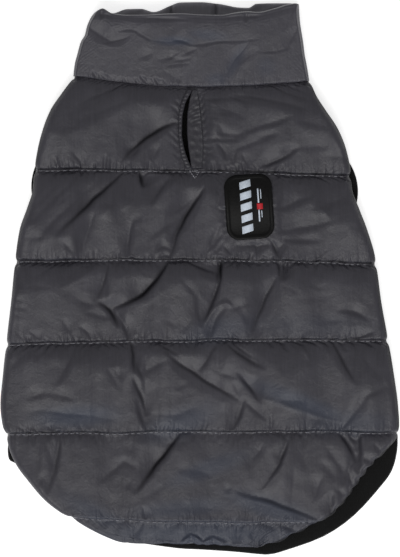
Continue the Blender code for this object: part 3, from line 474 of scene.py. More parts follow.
def fold_relief(folds, x, y):
    """How far the creases move the surface, at arrays of points."""
    relief = np.zeros(x.size)
    uneven = 0.95 + 0.18 * ripple(x, y, 24.0, 92).ravel()
    for f, near, inside, off in along_folds(folds, x, y):
        wide = 0.3 + 0.7 * inside
        relief[near] -= f.depth * inside * uneven[near] * crease(off, f.above * wide, f.below * wide)
    return relief.reshape(x.shape)


def painted_crease_shade(folds, x, y):
    """How much painted shade a point gets in the pinched core of a crease, 0 to 1: the core is painted darker
    than the mesh's own fold makes it.
    """
    shade = np.zeros(x.size)
    for f, near, inside, off in along_folds([f for f in folds if f.depth > 1.6], x, y):
        core = np.exp(-(((off - 0.5) / (0.5 + 0.22 * f.depth)) ** 2))
        shade[near] = np.maximum(shade[near], min(1.0, (f.depth - 1.1) / 2.6) * inside * core)
    return shade


def gather_relief(k, x, up, down):
    """The puckers beside channel k's two seams; up and down are the distances to them."""
    relief = np.zeros_like(x)
    for g in GATHERS:
        if g.seam - k != (g.side + 1) // 2:
            continue
        away = up if g.side < 0 else down
        for i in range(int((g.x1 - g.x0) / g.pitch)):
            at = g.x0 + (i + 0.5 + 0.3 * math.sin(7.3 * i + 2.1 * g.seam + g.x0)) * g.pitch
            length = g.length * (0.75 + 0.35 * math.sin(5.1 * i + g.x1))
            depth = g.depth * (0.8 + 0.4 * math.sin(3.7 * i + g.x0))
            off = (x - at - g.slant * g.side * away) / (0.27 * g.pitch)
            fading = np.clip(1.0 - away / length, 0.0, 1.0) ** 0.8
            relief += depth * fading * (0.35 * np.exp(-((off - 1.9) ** 2)) - np.exp(-(off**2)))
    return relief


def patch_frame(x, y):
    """Drawing millimetres to distances across and along the patch from its middle."""
    dx, dy = x - PATCH_X, y - PATCH_Y
    cos, sin = math.cos(PATCH_TURN), math.sin(PATCH_TURN)
    return dx * cos + dy * sin, -dx * sin + dy * cos


def off_patch(across, along):
    """Distances across and along the patch to drawing millimetres."""
    cos, sin = math.cos(PATCH_TURN), math.sin(PATCH_TURN)
    return PATCH_X + across * cos - along * sin, PATCH_Y + across * sin + along * cos


def beside_patch(across, along):
    """How far a point lies outside the patch, less than 0 on it."""
    return np.maximum(np.abs(across) - PATCH_WIDTH / 2.0, np.abs(along) - PATCH_LENGTH / 2.0)


def place(points):
    """Drawing millimetres to the coat's frame in metres."""
    return (np.asarray(points, float).reshape(-1, 3) + SHIFT) * 0.001


def new_object(name, points, faces, material=None):
    """A smooth object from points in drawing millimetres, with its faces turned outwards."""
    mesh = bpy.data.meshes.new(name)
    mesh.from_pydata([tuple(p) for p in place(points)], [], faces)
    fix = bmesh.new()
    fix.from_mesh(mesh)
    bmesh.ops.recalc_face_normals(fix, faces=fix.faces[:])
    fix.to_mesh(mesh)
    fix.free()
    mesh.shade_smooth()
    if material is not None:
        mesh.materials.append(material)
    made = bpy.data.objects.new(name, mesh)
    bpy.context.scene.collection.objects.link(made)
    return made


def ring_faces(rings, count, wrap=False):
    """Quads between rings of points; with wrap, the last ring joins the first."""
    i = np.arange(rings if wrap else rings - 1)[:, None] * count
    j = np.arange(count)[None, :]
    k = (j + 1) % count
    there = (i + count) % (rings * count)
    quads = np.stack([i + j, i + k, there + k, there + j], axis=-1).reshape(-1, 4)
    return quads.tolist()


def capped_faces(rings, count):
    """Quads between rings of points, and a face over each end."""
    last = (rings - 1) * count
    return ring_faces(rings, count) + [list(range(count)), list(range(last, last + count))[::-1]]


def tube(name, rings, material=None, wrap=False):
    """A closed surface through rings, shape (rings, count, 3): its ends are capped or joined."""
    count, around = rings.shape[:2]
    faces = ring_faces(count, around, wrap) if wrap else capped_faces(count, around)
    return new_object(name, rings, faces, material)


def pairs(reach_across, reach_along):
    """The two ends of every thread that reaches this far over a grid of points."""
    rows = (slice(None, -reach_along or None), slice(reach_along, None))
    if reach_across < 0:
        return (rows[0], slice(-reach_across, None)), (rows[1], slice(None, reach_across))
    return (rows[0], slice(None, -reach_across or None)), (rows[1], slice(reach_across, None))


# The threads that hold a sheet of cloth together: how many points each reaches across and along, and how
# firmly it draws its ends back when it is stretched and when it is pressed together.
THREADS = (
    (1, 0, 1.0, 0.8), (0, 1, 1.0, 0.8),
    (1, 1, 0.5, 0.3), (-1, 1, 0.5, 0.3),
    (2, 0, 0.0, 0.15), (0, 2, 0.0, 0.15),
)
PRESS_UP, PRESS_DOWN, SWELL = 0.01, 0.05, 0.001  # the padding's push on low cloth, high cloth and all cloth
MOVE_SHARE, KEPT_SPEED = 0.28, 0.9  # the shares of a thread's pull and of the last movement that act


def crumple(points, free, across, along, steps, seed=3):
    """Settles a sheet of cloth that was cut larger than the padding it is sewn over.

    points is a grid of points, and free is 1 where the cloth can move and 0 where it is sewn.
    across and along say how much longer the cloth is than its padding, at each point. The sheet is
    solved as threads that keep their cut lengths, over padding that pushes it back to its height.
    """
    moves = free[..., None] * MOVE_SHARE
    threads = []
    for dx, dy, out, back in THREADS:
        a, b = pairs(dx, dy)
        spare = (abs(dx) * across + abs(dy) * along) / (abs(dx) + abs(dy))
        length = np.linalg.norm(points[b] - points[a], axis=-1) * (1.0 + 0.5 * (spare[a] + spare[b]))
        threads.append((a, b, length, out, back))
    padding = points[..., 2].copy()
    here = points.copy()
    here[..., 2] += 0.08 * free * ripple(points[..., 0], points[..., 1], 6.0, seed)
    before = here.copy()
    for _ in range(steps):
        normal = np.cross(np.gradient(here, axis=1), -np.gradient(here, axis=0))
        normal *= SWELL / np.maximum(1e-9, np.linalg.norm(normal, axis=2, keepdims=True))
        low = padding - here[..., 2]
        normal[..., 2] += np.where(low > 0.0, PRESS_UP, PRESS_DOWN) * low
        here, before = here + (KEPT_SPEED * (here - before) + normal) * free[..., None], here
        for _ in range(2):
            pull = np.zeros_like(here)
            for a, b, length, out, back in threads:
                apart = here[b] - here[a]
                now = np.sqrt(np.einsum("ijk,ijk->ij", apart, apart))
                strain = (now - length) / np.maximum(now, 1e-6)
                apart *= (strain * np.where(strain > 0.0, out, back))[..., None]
                pull[a] += apart
                pull[b] -= apart
            here = here + pull * moves
    return here


# ---------------------------------------------------------------- the padded shell

body_left = curve(column(BODY_OUTLINE, "y"), column(BODY_OUTLINE, "left"))
body_right = curve(column(BODY_OUTLINE, "y"), column(BODY_OUTLINE, "right"))
slit_middle = curve(column(SLIT_LINE, "y"), column(SLIT_LINE, "middle"))
welt_left = curve(column(SLIT_LINE, "y"), column(SLIT_LINE, "left_edge"))
welt_right = curve(column(SLIT_LINE, "y"), column(SLIT_LINE, "right_edge"))
slit_half = curve(*zip(*SLIT_GAPS))

SIDE_STEPS = FOLD_ROUND * (1.0 - np.cos(np.linspace(0.0, math.pi / 2.0, 16, endpoint=False)))
INNER_COLUMNS = 212
HEM_RUFFLES = (  # x, rise, width
    (-21.0, 0.4, 3.0), (-5.0, 1.4, 2.6), (2.0, 0.5, 2.0), (9.5, 1.0, 3.4), (17.0, 0.4, 3.0),
)
SEAM_FLOOR = 0.5  # half the width of the flat strip that a seam's stitches lie on
SIDE_TURN = ((0.3, 0.72), (1.1, 0.42), (2.4, 0.17), (4.5, 0.0))  # under a side: distance in, share of height


def seam_y(k, u, x):
    """A seam's line, a little uneven; u runs from -1 to 1 between the coat's two sides."""
    seam = SEAMS[k]
    tilt = (seam.y_right - seam.y_left) / 2.0
    bow = (seam.y_right + seam.y_left) / 2.0 - seam.y_middle
    wander = 0.45 * waves(x, 46.0, k) + 0.2 * waves(x, 17.0, k + 9)
    if seam.name == "hem":
        wander = wander + sum(rise * np.exp(-(((x - at) / wide) ** 2)) for at, rise, wide in HEM_RUFFLES)
    return seam.y_middle + tilt * u + bow * u * u + wander * eased((1.0 - np.abs(u)) / 0.1)


def seam_ends(k):
    """Where a seam meets the coat's two sides."""
    return float(body_left(SEAMS[k].y_left)), float(body_right(SEAMS[k].y_right))


def channel_y(k, t, u, x):
    """The line that runs the share t of the way down channel k."""
    return seam_y(k, u, x) * (1.0 - t) + seam_y(k + 1, u, x) * t


def slit_relief(x, y, height):
    """The panel beside the leash slit: a padded lip on the left, a flat ledge on the right."""
    reach = eased((y - SLIT_BOTTOM + 7.0) / 7.0) * eased((298.0 - y) / 4.0)
    middle, edge = slit_middle(y), welt_right(y)
    lip = LEFT_LIP + (height - LEFT_LIP) * eased((middle - x) / 8.0)
    ledge = RIGHT_LEDGE + (height - RIGHT_LEDGE) * eased((x - edge - 0.4) / 9.0) ** 0.8
    shaped = np.where(x < middle, lip, ledge)
    return height + (np.minimum(height, shaped) - height) * reach


crest_lines = [curve(*zip(*line)) for line in CRESTS]
WALL_WIDTH, CREST_TURN, LIP_WIDTH = 4.6, 0.6, 1.8  # how soon the wall rises, the crest turns, the lip falls
CREST_BELOW, CREST_ABOVE = 3.0, 9.0  # how near to the seams a crest can be
CLIMB_FADE = 60.0  # the distance from the seam at which the climb is half as high as a straight one


def shell_top(k, t, x, y, u):
    """The padded panel's upper surface in channel k, before the cloth settles."""
    upper, lower = SEAMS[k], SEAMS[k + 1]
    top, low = seam_y(k, u, x), seam_y(k + 1, u, x)
    span = top - low
    up = np.maximum(0.0, t * span - SEAM_FLOOR)
    down = np.maximum(0.0, (1.0 - t) * span - SEAM_FLOOR)
    crest = np.clip(top - crest_lines[k](x) - SEAM_FLOOR, CREST_BELOW, span - CREST_ABOVE)
    wall = upper.wall * (1.0 + 0.5 * waves(x, 33.0, k + 21))
    lip = upper.lip * (1.0 + 0.6 * waves(x, 29.0, k + 31))
    top_of_crest = wall + upper.climb * crest / (1.0 + crest / CLIMB_FADE)
    rise = wall * (1.0 - np.exp(-up / WALL_WIDTH)) + upper.climb * up / (1.0 + up / CLIMB_FADE)
    slope = np.minimum(upper.fall, (top_of_crest - lip) / np.maximum(4.0, span - crest))
    fall = top_of_crest - slope * (up - crest)
    body = 0.5 * (rise + fall - np.sqrt((rise - fall) ** 2 + CREST_TURN**2))
    body = np.maximum(body, 0.0) * np.sqrt(1.0 - (1.0 - np.clip(down / LIP_WIDTH, 0.0, 1.0)) ** 2.0)
    height = upper.groove + (lower.groove - upper.groove) * t + body
    across, along = patch_frame(x, y)
    loose = eased(beside_patch(across, along) / PATCH_BED)
    bed = PATCH_CREST - PATCH_DROP * (np.maximum(along, 0.0) / (PATCH_LENGTH / 2.0)) ** 2
    height = np.where(along > 0.0, height + (np.maximum(height, bed) - height) * (1.0 - loose), height)
    near = np.minimum(up, down)
    firm = np.clip(near / 3.0, 0.0, 1.0)
    soft = fold_relief(FOLDS, x, y) + 0.1 * ripple(x, y, 15.0, k + 11) + 0.25 * ripple(x, y, 55.0, k + 2)
    soft = soft * firm * (2.0 - firm) + np.clip(near, 0.0, 1.0) * gather_relief(k, x, up, down)
    height = height + loose * soft
    return slit_relief(x, y, height) if k == 0 else height


def shell_stations():
    """The rings' places: each one's channel, and its share of the way down that channel."""
    stations = []
    for k, seam in enumerate(SEAMS[:-1]):
        floor = SEAM_FLOOR / (seam.y_middle - SEAMS[k + 1].y_middle)
        even = np.arange(seam.rows) / seam.rows
        share = 0.55 * even + 0.45 * (0.5 - 0.5 * np.cos(math.pi * even))
        stations.append((k, 0.0))
        stations += [(k, floor + (1.0 - 2.0 * floor) * s) for s in share]
        stations.append((k, 1.0 - floor))
    return stations + [(len(SEAMS) - 2, 1.0)]


def side_layers(y):
    """The heights of a side's underside, its outermost point and the panel's underside further in."""
    if y < SEAMS[4].y_left + 1.5:
        return OVER_LINING, HEM_EDGE, OVER_LINING
    if abs(y - ARMHOLE_Y) < ARMHOLE_REACH:
        return OVER_BELLY, ARMHOLE_EDGE, OVER_BELLY
    return 0.0, FOLD_MIDDLE, OVER_BELLY


def underside(left, right, base_left, base_right, layers):
    """A ring's lower half from the right side to the left one: its x and its heights."""
    under, outer, inside = layers
    turn = [(d, under + (outer - under) * s) for d, s in SIDE_TURN]
    wrap_left, wrap_right = base_left + WRAP, base_right - WRAP
    points = [(right - d, z) for d, z in turn]
    points += [(right - 10.0, under), (wrap_right, under), (wrap_right - GAP, inside)]
    points += [(x, inside) for x in np.linspace(wrap_right, wrap_left, 7)[1:-1]]
    points += [(wrap_left + GAP, inside), (wrap_left, under), (left + 10.0, under)]
    points += [(left + d, z) for d, z in turn[::-1]]
    return np.array(points).T


def sewn_down(k, t, span, x, y):
    """1 at the points of a ring's upper half that are sewn down, 0 at the others."""
    sewn = np.zeros(len(x))
    floor = SEAM_FLOOR / span * 1.001
    if t <= floor or t >= 1.0 - floor:
        sewn[:] = 1.0
    sewn[:3] = sewn[-3:] = 1.0
    across, along = patch_frame(x, y)
    under_patch = (np.abs(across) < PATCH_WIDTH / 2.0 - 1.0) & (np.abs(along) < PATCH_LENGTH / 2.0 - 1.0)
    at_slit = (y > SLIT_BOTTOM - 1.0) & (x > welt_left(y) - 0.6) & (x < welt_right(y) + 0.8)
    sewn[under_patch | ((k == 0) & at_slit)] = 1.0
    return sewn


def shell_rings():
    """All the rings of the padded panel, and how firmly each point across its top is sewn down."""
    lower, tops, held = [], [], []
    stations = shell_stations()
    for k, t in stations:
        seam, following = SEAMS[k], SEAMS[k + 1]
        y_left = seam.y_left + (following.y_left - seam.y_left) * t
        y_right = seam.y_right + (following.y_right - seam.y_right) * t
        span = seam.y_middle - following.y_middle
        pull = SEAM_NOTCH * math.exp(-((min(t, 1.0 - t) * span / NOTCH_REACH) ** 2))
        base_left, base_right = float(body_left(y_left)), float(body_right(y_right))
        scallop = 0.55 * (1.0 + math.sin(y_right / 0.95)) * float(eased((70.0 - y_right) / 8.0))
        left, right = base_left + pull, base_right - pull - scallop
        inner = np.linspace(left + FOLD_ROUND, right - FOLD_ROUND, INNER_COLUMNS)
        x = np.concatenate([left + SIDE_STEPS, inner, (right - SIDE_STEPS)[::-1]])
        u = share_across(x, base_left, base_right)
        y = channel_y(k, t, u, x)
        layers = side_layers((y_left + y_right) / 2.0)
        rounded = np.clip(np.minimum(x - left, right - x) / SIDE_ROUND, 0.0, 1.0)
        tops.append((x, y, u, (1.0 - (1.0 - rounded) ** 2.5) ** 0.4, np.full_like(x, layers[1])))
        held.append(sewn_down(k, t, span, x, y))
        bx, bz = underside(left, right, base_left, base_right, layers)
        by = channel_y(k, t, share_across(bx, base_left, base_right), bx)
        if t == 1.0:
            by = by + 1.6 * eased((36.0 - np.abs(bx)) / 12.0)  # under the ruffle the hem lies further in
        lower.append(np.stack([bx, by, bz], axis=1))
    x, y, u, rounding, outer = np.stack(tops, axis=1)
    channel, share = np.array(stations).T
    z = outer.copy()
    for k in range(len(SEAMS) - 1):
        rows = channel == k
        z[rows] += (shell_top(k, share[rows, None], x[rows], y[rows], u[rows]) - outer[rows]) * rounding[rows]
    top = np.stack([x, y, z], axis=2)
    return np.concatenate([top, np.array(lower)], axis=1), np.array(held)


def seam_distance(x, y):
    """The distance up or down to the nearest seam."""
    near = np.full_like(x, 99.0)
    for k in range(len(SEAMS)):
        near = np.minimum(near, np.abs(y - seam_y(k, share_across(x, *seam_ends(k)), x)))
    return near


def spare_cloth(x, y):
    """How much longer than its padding the shell is cut, across and along, as shares of its length."""
    gathered = np.exp(-seam_distance(x, y) / 5.5)
    patchy = 0.65 + 0.45 * ripple(x, 0.6 * y, 31.0, 8)
    across = 0.012 + 0.055 * gathered * patchy
    along = 0.008 + 0.010 * gathered
    slit = np.minimum(np.abs(x - welt_left(y)), np.abs(x - welt_right(y)))
    along = along + 0.07 * np.exp(-slit / 4.5) * eased((y - SLIT_BOTTOM + 8.0) / 8.0)
    patch = 0.03 * np.exp(-np.maximum(beside_patch(*patch_frame(x, y)), 0.0) / 6.0)
    tail = eased((74.0 - y) / 12.0) * np.exp(-np.maximum(0.0, body_right(y) - x) / 12.0)
    return across + patch + 0.05 * tail, along + patch + 0.04 * tail


def slit_blade():
    """A closed body in the slit's shape, to cut it with."""
    y = np.linspace(SLIT_TOP, SLIT_BOTTOM, 25)
    middle, half = slit_middle(y), slit_half(y)
    half[[0, -1]] = 0.05
    edge = np.concatenate([np.stack([middle - half, y], 1), np.stack([middle + half, y], 1)[::-1]])
    low, high = (np.column_stack([edge, np.full(len(edge), z)]) for z in (-4.0, 40.0))
    return tube("slit_blade", np.array([low, high]))


def make_shell(cloth):
    """The padded panel: its cloth settled over the padding, and the slit cut through it."""
    rings, sewn = shell_rings()
    top = rings[:, : sewn.shape[1]]
    across, along = spare_cloth(top[..., 0], top[..., 1])
    settled = crumple(top, 1.0 - sewn, across, along, SHELL_STEPS)
    settled[..., 2] = np.maximum(settled[..., 2], np.minimum(top[..., 2], 2.4))
    rings[:, : sewn.shape[1]] = settled
    shell = tube("quilted_shell", rings, cloth)
    blade = slit_blade()
    cut = shell.modifiers.new("cut", "BOOLEAN")
    cut.operation, cut.solver, cut.object = "DIFFERENCE", "EXACT", blade
    evaluated = shell.evaluated_get(bpy.context.evaluated_depsgraph_get())
    mesh = bpy.data.meshes.new_from_object(evaluated)
    shell.modifiers.clear()
    shell.data = mesh
    blade_mesh = blade.data
    bpy.data.objects.remove(blade)
    bpy.data.meshes.remove(blade_mesh)
    return shell


# ---------------------------------------------------------------- the collar

COLLAR_SIDES = named_rows("CollarSide", "share left right", (
    (0.00, -79.6, 69.3), (0.20, -78.6, 67.7), (0.33, -77.2, 66.5), (0.53, -74.9, 65.2),
    (0.64, -72.3, 64.3), (0.76, -71.1, 63.4), (0.90, -68.6, 62.9), (1.00, -65.4, 62.7),
))
MOUTH = named_rows("MouthPoint", "x upper lower", (
    (-65.4, 343.2, 343.2), (-61.0, 344.6, 344.6), (-55.0, 341.6, 342.6), (-46.0, 340.5, 345.2),
    (-37.0, 340.5, 345.4), (-29.0, 340.8, 343.4), (-18.0, 341.4, 347.6), (-12.0, 341.5, 349.4),
    (0.0, 340.8, 349.6), (13.0, 340.5, 348.4), (25.0, 342.3, 346.2), (31.0, 342.7, 346.0),
    (36.0, 342.3, 348.6), (47.0, 344.6, 348.9), (55.0, 347.0, 348.9), (62.7, 348.4, 348.6),
))
COLLAR_BANDS = named_rows("CollarBand", "share wall hollow swell", (
    (0.00, 2.8, 4.7, 0.0), (0.02, 3.6, 4.7, 0.0), (0.06, 4.1, 4.8, 0.1), (0.18, 4.4, 4.9, 0.5),
    (0.34, 4.6, 5.1, 1.1), (0.52, 4.7, 5.4, 1.8), (0.70, 4.8, 5.8, 2.3), (0.86, 4.8, 6.2, 2.7),
    (0.95, 4.7, 6.5, 2.3),
))
COLLAR_FOLDS = [Fold(*row) for row in (
    # the wavy crease that runs in from the left side
    (-72, 334.4, -54, 322.6, -0.4, 1.3, 9, 5),
    (-61, 323, -43, 327.6, -1.1, 1.1, 9, 4),
    (-51, 329.4, -38, 329.6, 1.1, 0.6, 7, 1.8),
    (-41.5, 330.4, -30, 323.4, 0.3, 0.6, 8, 1.8),
    (-35, 324.4, -11, 323.6, -0.3, 0.25, 8, 3),
    # the long soft line across the middle
    (-17, 324.6, -4.6, 320.8, 0.9, 0.8, 8, 1.8),
    (-9, 321, 19, 323.6, 0.1, 0.5, 10, 2),
    (9, 322.8, 38, 324.8, 0.1, 0.45, 10, 2),
    # short soft ones below it
    (-38.5, 312.6, -29, 315.8, 0.4, 0.45, 6, 3),
    (-27, 311.8, -13, 313.2, 0.3, 0.4, 6, 3),
    (-20.5, 312, -13, 317, 0, 0.3, 4, 1.6),
    (-17.5, 310.8, -5, 313.2, 0.2, 0.4, 5, 1.8),
    (-12, 314.8, -1.5, 319, 0, 0.45, 5, 1.8),
    (-22.5, 307.8, -6, 309.8, 0.3, 0.35, 5, 2.2),
    (-24, 305.8, -9, 297, 0.4, 0.35, 6, 3.6),
    (-3.2, 298, -2.8, 314, 0.4, 0.3, 4, 3),
    # the broad diagonal hollow right of the middle, and the ridge beside it
    (14, 297, 32, 324, 1.5, 1.0, 6, 4.5),
    (20, 297, 35, 318, 0.8, -0.5, 4, 4),
    (25, 309, 38, 318.6, 0.4, 0.4, 7, 3),
    (36, 316.8, 59, 319.6, -0.3, 0.35, 9, 2),
    (54, 318, 62, 333, 0, 0.6, 7, 2.2),
    (53, 329, 60.5, 346, 0.6, 0.4, 8, 4),
    # the stitched turn of the mouth
    (-66, 340.6, -6, 337.2, 0, 0.9, 1.6, 3.4),
    (-12, 339.6, 34, 338.6, 0, 0.4, 2, 2.4),
    (29.3, 335.4, 29.8, 342, 0, 1.0, 2, 1.6),
    (29, 338.4, 39, 339.7, 0.1, 0.6, 2, 2),
    (36, 341.2, 54, 347, 0.8, 0.6, 2.5, 4),
    (-61.6, 337.5, -61.2, 344.5, 0, 1.0, 2, 2.5),
    # the gathers at the neck seam
    (-68, 305.5, -61, 297.5, 0, 1, 2, 2),
    (-63, 304.6, -57, 297, 0.2, 1.1, 2, 2),
    (-60, 303.4, -53.5, 296, 0, 0.9, 2, 2),
    (-56, 302, -50, 296, 0.2, 1, 2, 2),
    (-51.5, 301, -44, 295.5, 0, 1.1, 2, 2),
    (-46.5, 300.6, -40, 295, 0.2, 1, 2, 2),
    (-42, 301, -35, 294.5, 0, 1.2, 2, 2),
    (-37.5, 302.6, -30.5, 294, 0.3, 1.5, 2, 2),
    (-33, 301, -27, 294, 0, 1.3, 2, 2),
    (-29, 301, -23, 294, 0.2, 1.4, 2, 2),
    (-25.5, 300, -20, 294, 0, 1.1, 2, 1.5),
)]
REAR_FOLDS = [Fold(*row) for row in (
    (-18.4, 332, -17.4, 357, 0.3, 2.6, 7, 2.4),
    (-14.6, 336, -14.2, 357, 0, -0.7, 3, 3.5),
    (9.4, 332, 10.4, 357, 0.3, 2.6, 6, 2.4),
    (17, 336, 17.4, 357, 0.3, 0.9, 6, 2.5),
    (-15, 343.2, 9, 342.8, 0.2, 0.8, 2, 2.4),
    (-15, 345.8, 9, 345.4, 0.2, 0.8, 2, 2.4),
    (-14, 348, 7, 347.6, 0.2, 0.6, 2, 2),
    (12, 344.8, 30, 343.2, 0.2, 0.8, 2.5, 2.5),
    (-53, 340, -45, 345, 0.3, 1.3, 4.5, 2.5),
    (-42, 340, -32, 345, 0.4, 1.0, 4.5, 2.5),
    (30, 341, 46, 348, 0.6, 1.1, 4.5, 2.5),
)]
COLLAR_TOP, COLLAR_UNDER = 232, 150  # points across a ring's upper and lower half
COLLAR_ROUND, COLLAR_WALL = 3.4, 4.6  # how far in its sides are round, and its lower wall's thickness
COLLAR_OUTSIDE = np.concatenate([[0.0, 0.006, 0.013, 0.021, 0.03, 0.042], np.linspace(0.055, 0.974, 68)])
COLLAR_FOLD = (  # the share of the way up to the mouth, and how far over the fold to the inside
    (0.982, 0.04), (0.988, 0.11), (0.993, 0.2), (0.997, 0.3), (1.0, 0.42), (1.0, 0.58), (0.995, 0.72),
    (0.985, 0.86), (0.97, 0.96), (0.955, 1.0),
)
COLLAR_INSIDE = (0.93, 0.9, 0.87, 0.83, 0.78, 0.7, 0.6, 0.45, 0.3, 0.15, 0.0)


def neck_y(x):
    """The neck seam's line."""
    return seam_y(0, share_across(x, BODY_OUTLINE[0].left, BODY_OUTLINE[0].right), x)


def across_collar(left, right, turn, count):
    """Points across the collar, closer together where its sides turn."""
    inner = np.linspace(left + COLLAR_ROUND, right - COLLAR_ROUND, count - 2 * len(turn))
    return np.concatenate([left + turn, inner, (right - turn)[::-1]])


def collar_rings():
    """Rings up the collar's outside from the neck seam, over the mouth's fold and down the inside."""
    side_left = curve(column(COLLAR_SIDES, "share"), column(COLLAR_SIDES, "left"))
    side_right = curve(column(COLLAR_SIDES, "share"), column(COLLAR_SIDES, "right"))
    upper_mouth = curve(column(MOUTH, "x"), column(MOUTH, "upper"))
    lower_mouth = curve(column(MOUTH, "x"), column(MOUTH, "lower"))
    walls, hollows, swells = (
        curve(column(COLLAR_BANDS, "share"), column(COLLAR_BANDS, name))
        for name in ("wall", "hollow", "swell")
    )
    levels = [(s, 0.0) for s in COLLAR_OUTSIDE] + list(COLLAR_FOLD) + [(s, 1.0) for s in COLLAR_INSIDE]
    turn = (1.0 - np.cos(np.linspace(0.0, math.pi / 2.0, 13)[:-1])) * COLLAR_ROUND
    rings = []
    for share, depth in levels:
        left, right = float(side_left(share)), float(side_right(share))
        wall, hollow, swell = float(walls(share)), float(hollows(share)), float(swells(share))
        middle = COLLAR_WALL + hollow / 2.0
        inset = depth * 1.1 * COLLAR_WALL
        top_x = across_collar(left + inset, right - inset, turn, COLLAR_TOP)
        under_x = across_collar(left + inset, right - inset, turn[1:], COLLAR_UNDER)[::-1]
        points = []
        for x, upper in ((top_x, True), (under_x, False)):
            rounded = np.clip(np.minimum(x - left - inset, right - inset - x) / COLLAR_ROUND, 0.0, 1.0)
            edge = (1.0 - (1.0 - rounded) ** 2.6) ** 0.385
            mouth = upper_mouth(x)
            if upper:
                reach = hollow / 2.0 + (1.0 - depth) * (wall + swell)
            else:
                reach = hollow / 2.0 + (1.0 - depth) * COLLAR_WALL
                mouth = mouth + (lower_mouth(x) - mouth) * edge
            low = neck_y(x) + 0.15
            if upper and depth == 0.0:
                low = low - 1.0 * np.sin(math.pi * np.clip(share / 0.06, 0.0, 1.0)) * edge
            y = low + (mouth - low) * share
            if upper:
                relief = fold_relief(COLLAR_FOLDS, x, y) * (1.0 - depth) * float(eased(share / 0.03))
                relief = relief + 0.25 * ripple(x, y, 38.0, 31) * (1.0 - depth)
                z = middle + (reach + relief) * edge
            else:
                relief = fold_relief(REAR_FOLDS, x, y) * depth
                z = middle - (reach - relief) * edge
            points.append(np.stack([x, y, z], axis=1))
        rings.append(np.concatenate(points))
    return np.array(rings), len(COLLAR_OUTSIDE)


def make_collar(cloth, cloth_painted_paler):
    """The collar's tube: its outside settled over the padding, its inside in the other cloth, a paler copy of
    the nylon whose paleness is painted light.
    """
    rings, rows = collar_rings()
    top = rings[:rows, :COLLAR_TOP]
    x, y = top[..., 0], top[..., 1]
    off = np.maximum(y - neck_y(x), 0.0)
    across = 0.002 + 0.012 * np.exp(-off / 4.0)
    along = np.full_like(x, 0.002)
    free = np.ones_like(x)
    free[:1] = free[-2:] = 0.0
    free[:, :4] = free[:, -4:] = 0.0
    rings[:rows, :COLLAR_TOP] = crumple(top, free, across, along, COLLAR_STEPS, seed=5)
    collar = tube("padded_collar", rings, cloth, wrap=True)
    collar.data.materials.append(cloth_painted_paler)
    for face in collar.data.polygons[(rows + 3) * rings.shape[1] :]:
        face.material_index = 1
    return collar


# ---------------------------------------------------------------- sewing and trims


class Surface:
    """A finished piece's surface, to lay other pieces on."""

    def __init__(self, *pieces):
        points, faces = [], []
        for piece in pieces:
            first = len(points)
            points += [v.co.copy() for v in piece.data.vertices]
            faces += [tuple(first + i for i in p.vertices) for p in piece.data.polygons]
        self.tree = BVHTree.FromPolygons(points, faces)

    def height(self, x, y):
        """The surface's height at a point, or 0 beside it."""
        px, py, _ = place([(x, y, 0.0)])[0]
        hit = self.tree.ray_cast(Vector((px, py, 0.06)), Vector((0.0, 0.0, -1.0)))[0]
        return 0.0 if hit is None else max(0.0, hit.z * 1000.0)


def path_points(points, pitch):
    """Points along a line at even spacing."""
    points = np.asarray(points, float)
    step = np.linalg.norm(np.diff(points, axis=0), axis=1)
    distance = np.concatenate([[0.0], np.cumsum(step)])
    count = max(2, int(round(distance[-1] / pitch)) + 1)
    at = np.linspace(0.0, distance[-1], count)
    return np.stack([np.interp(at, distance, points[:, i]) for i in range(points.shape[1])], axis=1)


def stitch(points, thick):
    """One stitch: a short thread, thickest in its middle and sunk into the cloth at both ends."""
    points = np.asarray(points, float)
    ahead = np.gradient(points, axis=0)
    ahead /= np.linalg.norm(ahead, axis=1, keepdims=True)
    side = np.cross(ahead, [0.0, 0.0, 1.0])
    side /= np.maximum(1e-6, np.linalg.norm(side, axis=1, keepdims=True))
    up = np.cross(side, ahead)
    share = np.linspace(0.0, 1.0, len(points))
    radius = 0.5 * thick * (0.35 + 0.65 * np.sin(math.pi * share) ** 0.5)
    turn = np.linspace(0.0, 2.0 * math.pi, 6, endpoint=False)
    ring = side[:, None] * np.cos(turn)[None, :, None] + up[:, None] * np.sin(turn)[None, :, None]
    return points[:, None] + ring * radius[:, None, None]


STITCH_LIFT, STITCH_ENDS = 0.12, 0.3  # how far a stitch lies over the cloth, and its ends sink into it


def sew(name, lines, surface, material, pitch=3.8, length=3.2, thick=0.5, seed=1):
    """Stitches along lines on a surface, as one mesh."""
    points, faces = [], []
    for number, line in enumerate(lines):
        fine = path_points(line, 0.25)
        distance = np.concatenate([[0.0], np.cumsum(np.linalg.norm(np.diff(fine, axis=0), axis=1))])
        count = int(distance[-1] // pitch)
        for i in range(count):
            wobble = 0.25 * math.sin(12.9 * i + 4.1 * number + seed)
            start = (i + 0.5) * pitch - length / 2.0 + wobble
            at = np.linspace(start, start + length * (1.0 + 0.2 * math.sin(7.7 * i + seed)), 5)
            x = np.interp(at, distance, fine[:, 0])
            y = np.interp(at, distance, fine[:, 1]) + 0.08 * math.sin(5.3 * i + seed)
            z = np.array([surface.height(a, b) for a, b in zip(x, y)])
            sunk = 0.18 * (1.0 + float(ripple(x[2], y[2], 34.0, seed + 40)))
            z = np.maximum(z, z.mean() - 0.3) + STITCH_LIFT - sunk
            z[[0, -1]] -= STITCH_ENDS
            z[2] += 0.08
            ring = stitch(np.stack([x, y, z], axis=1), thick)
            faces += [[len(points) + v for v in face] for face in capped_faces(*ring.shape[:2])]
            points += ring.reshape(-1, 3).tolist()
    return new_object(name, points, faces, material)


STRIP_SHARES = np.array([0.0, 0.05, 0.14, 0.25, 0.38, 0.5, 0.62, 0.75, 0.87, 0.95, 1.0])
STRIP_SLOT = 0.16  # between the strip's two layers
PLEAT_PITCH, PLEATS_FROM = 2.7, 268.0  # of the small pleats, and the y above which they are


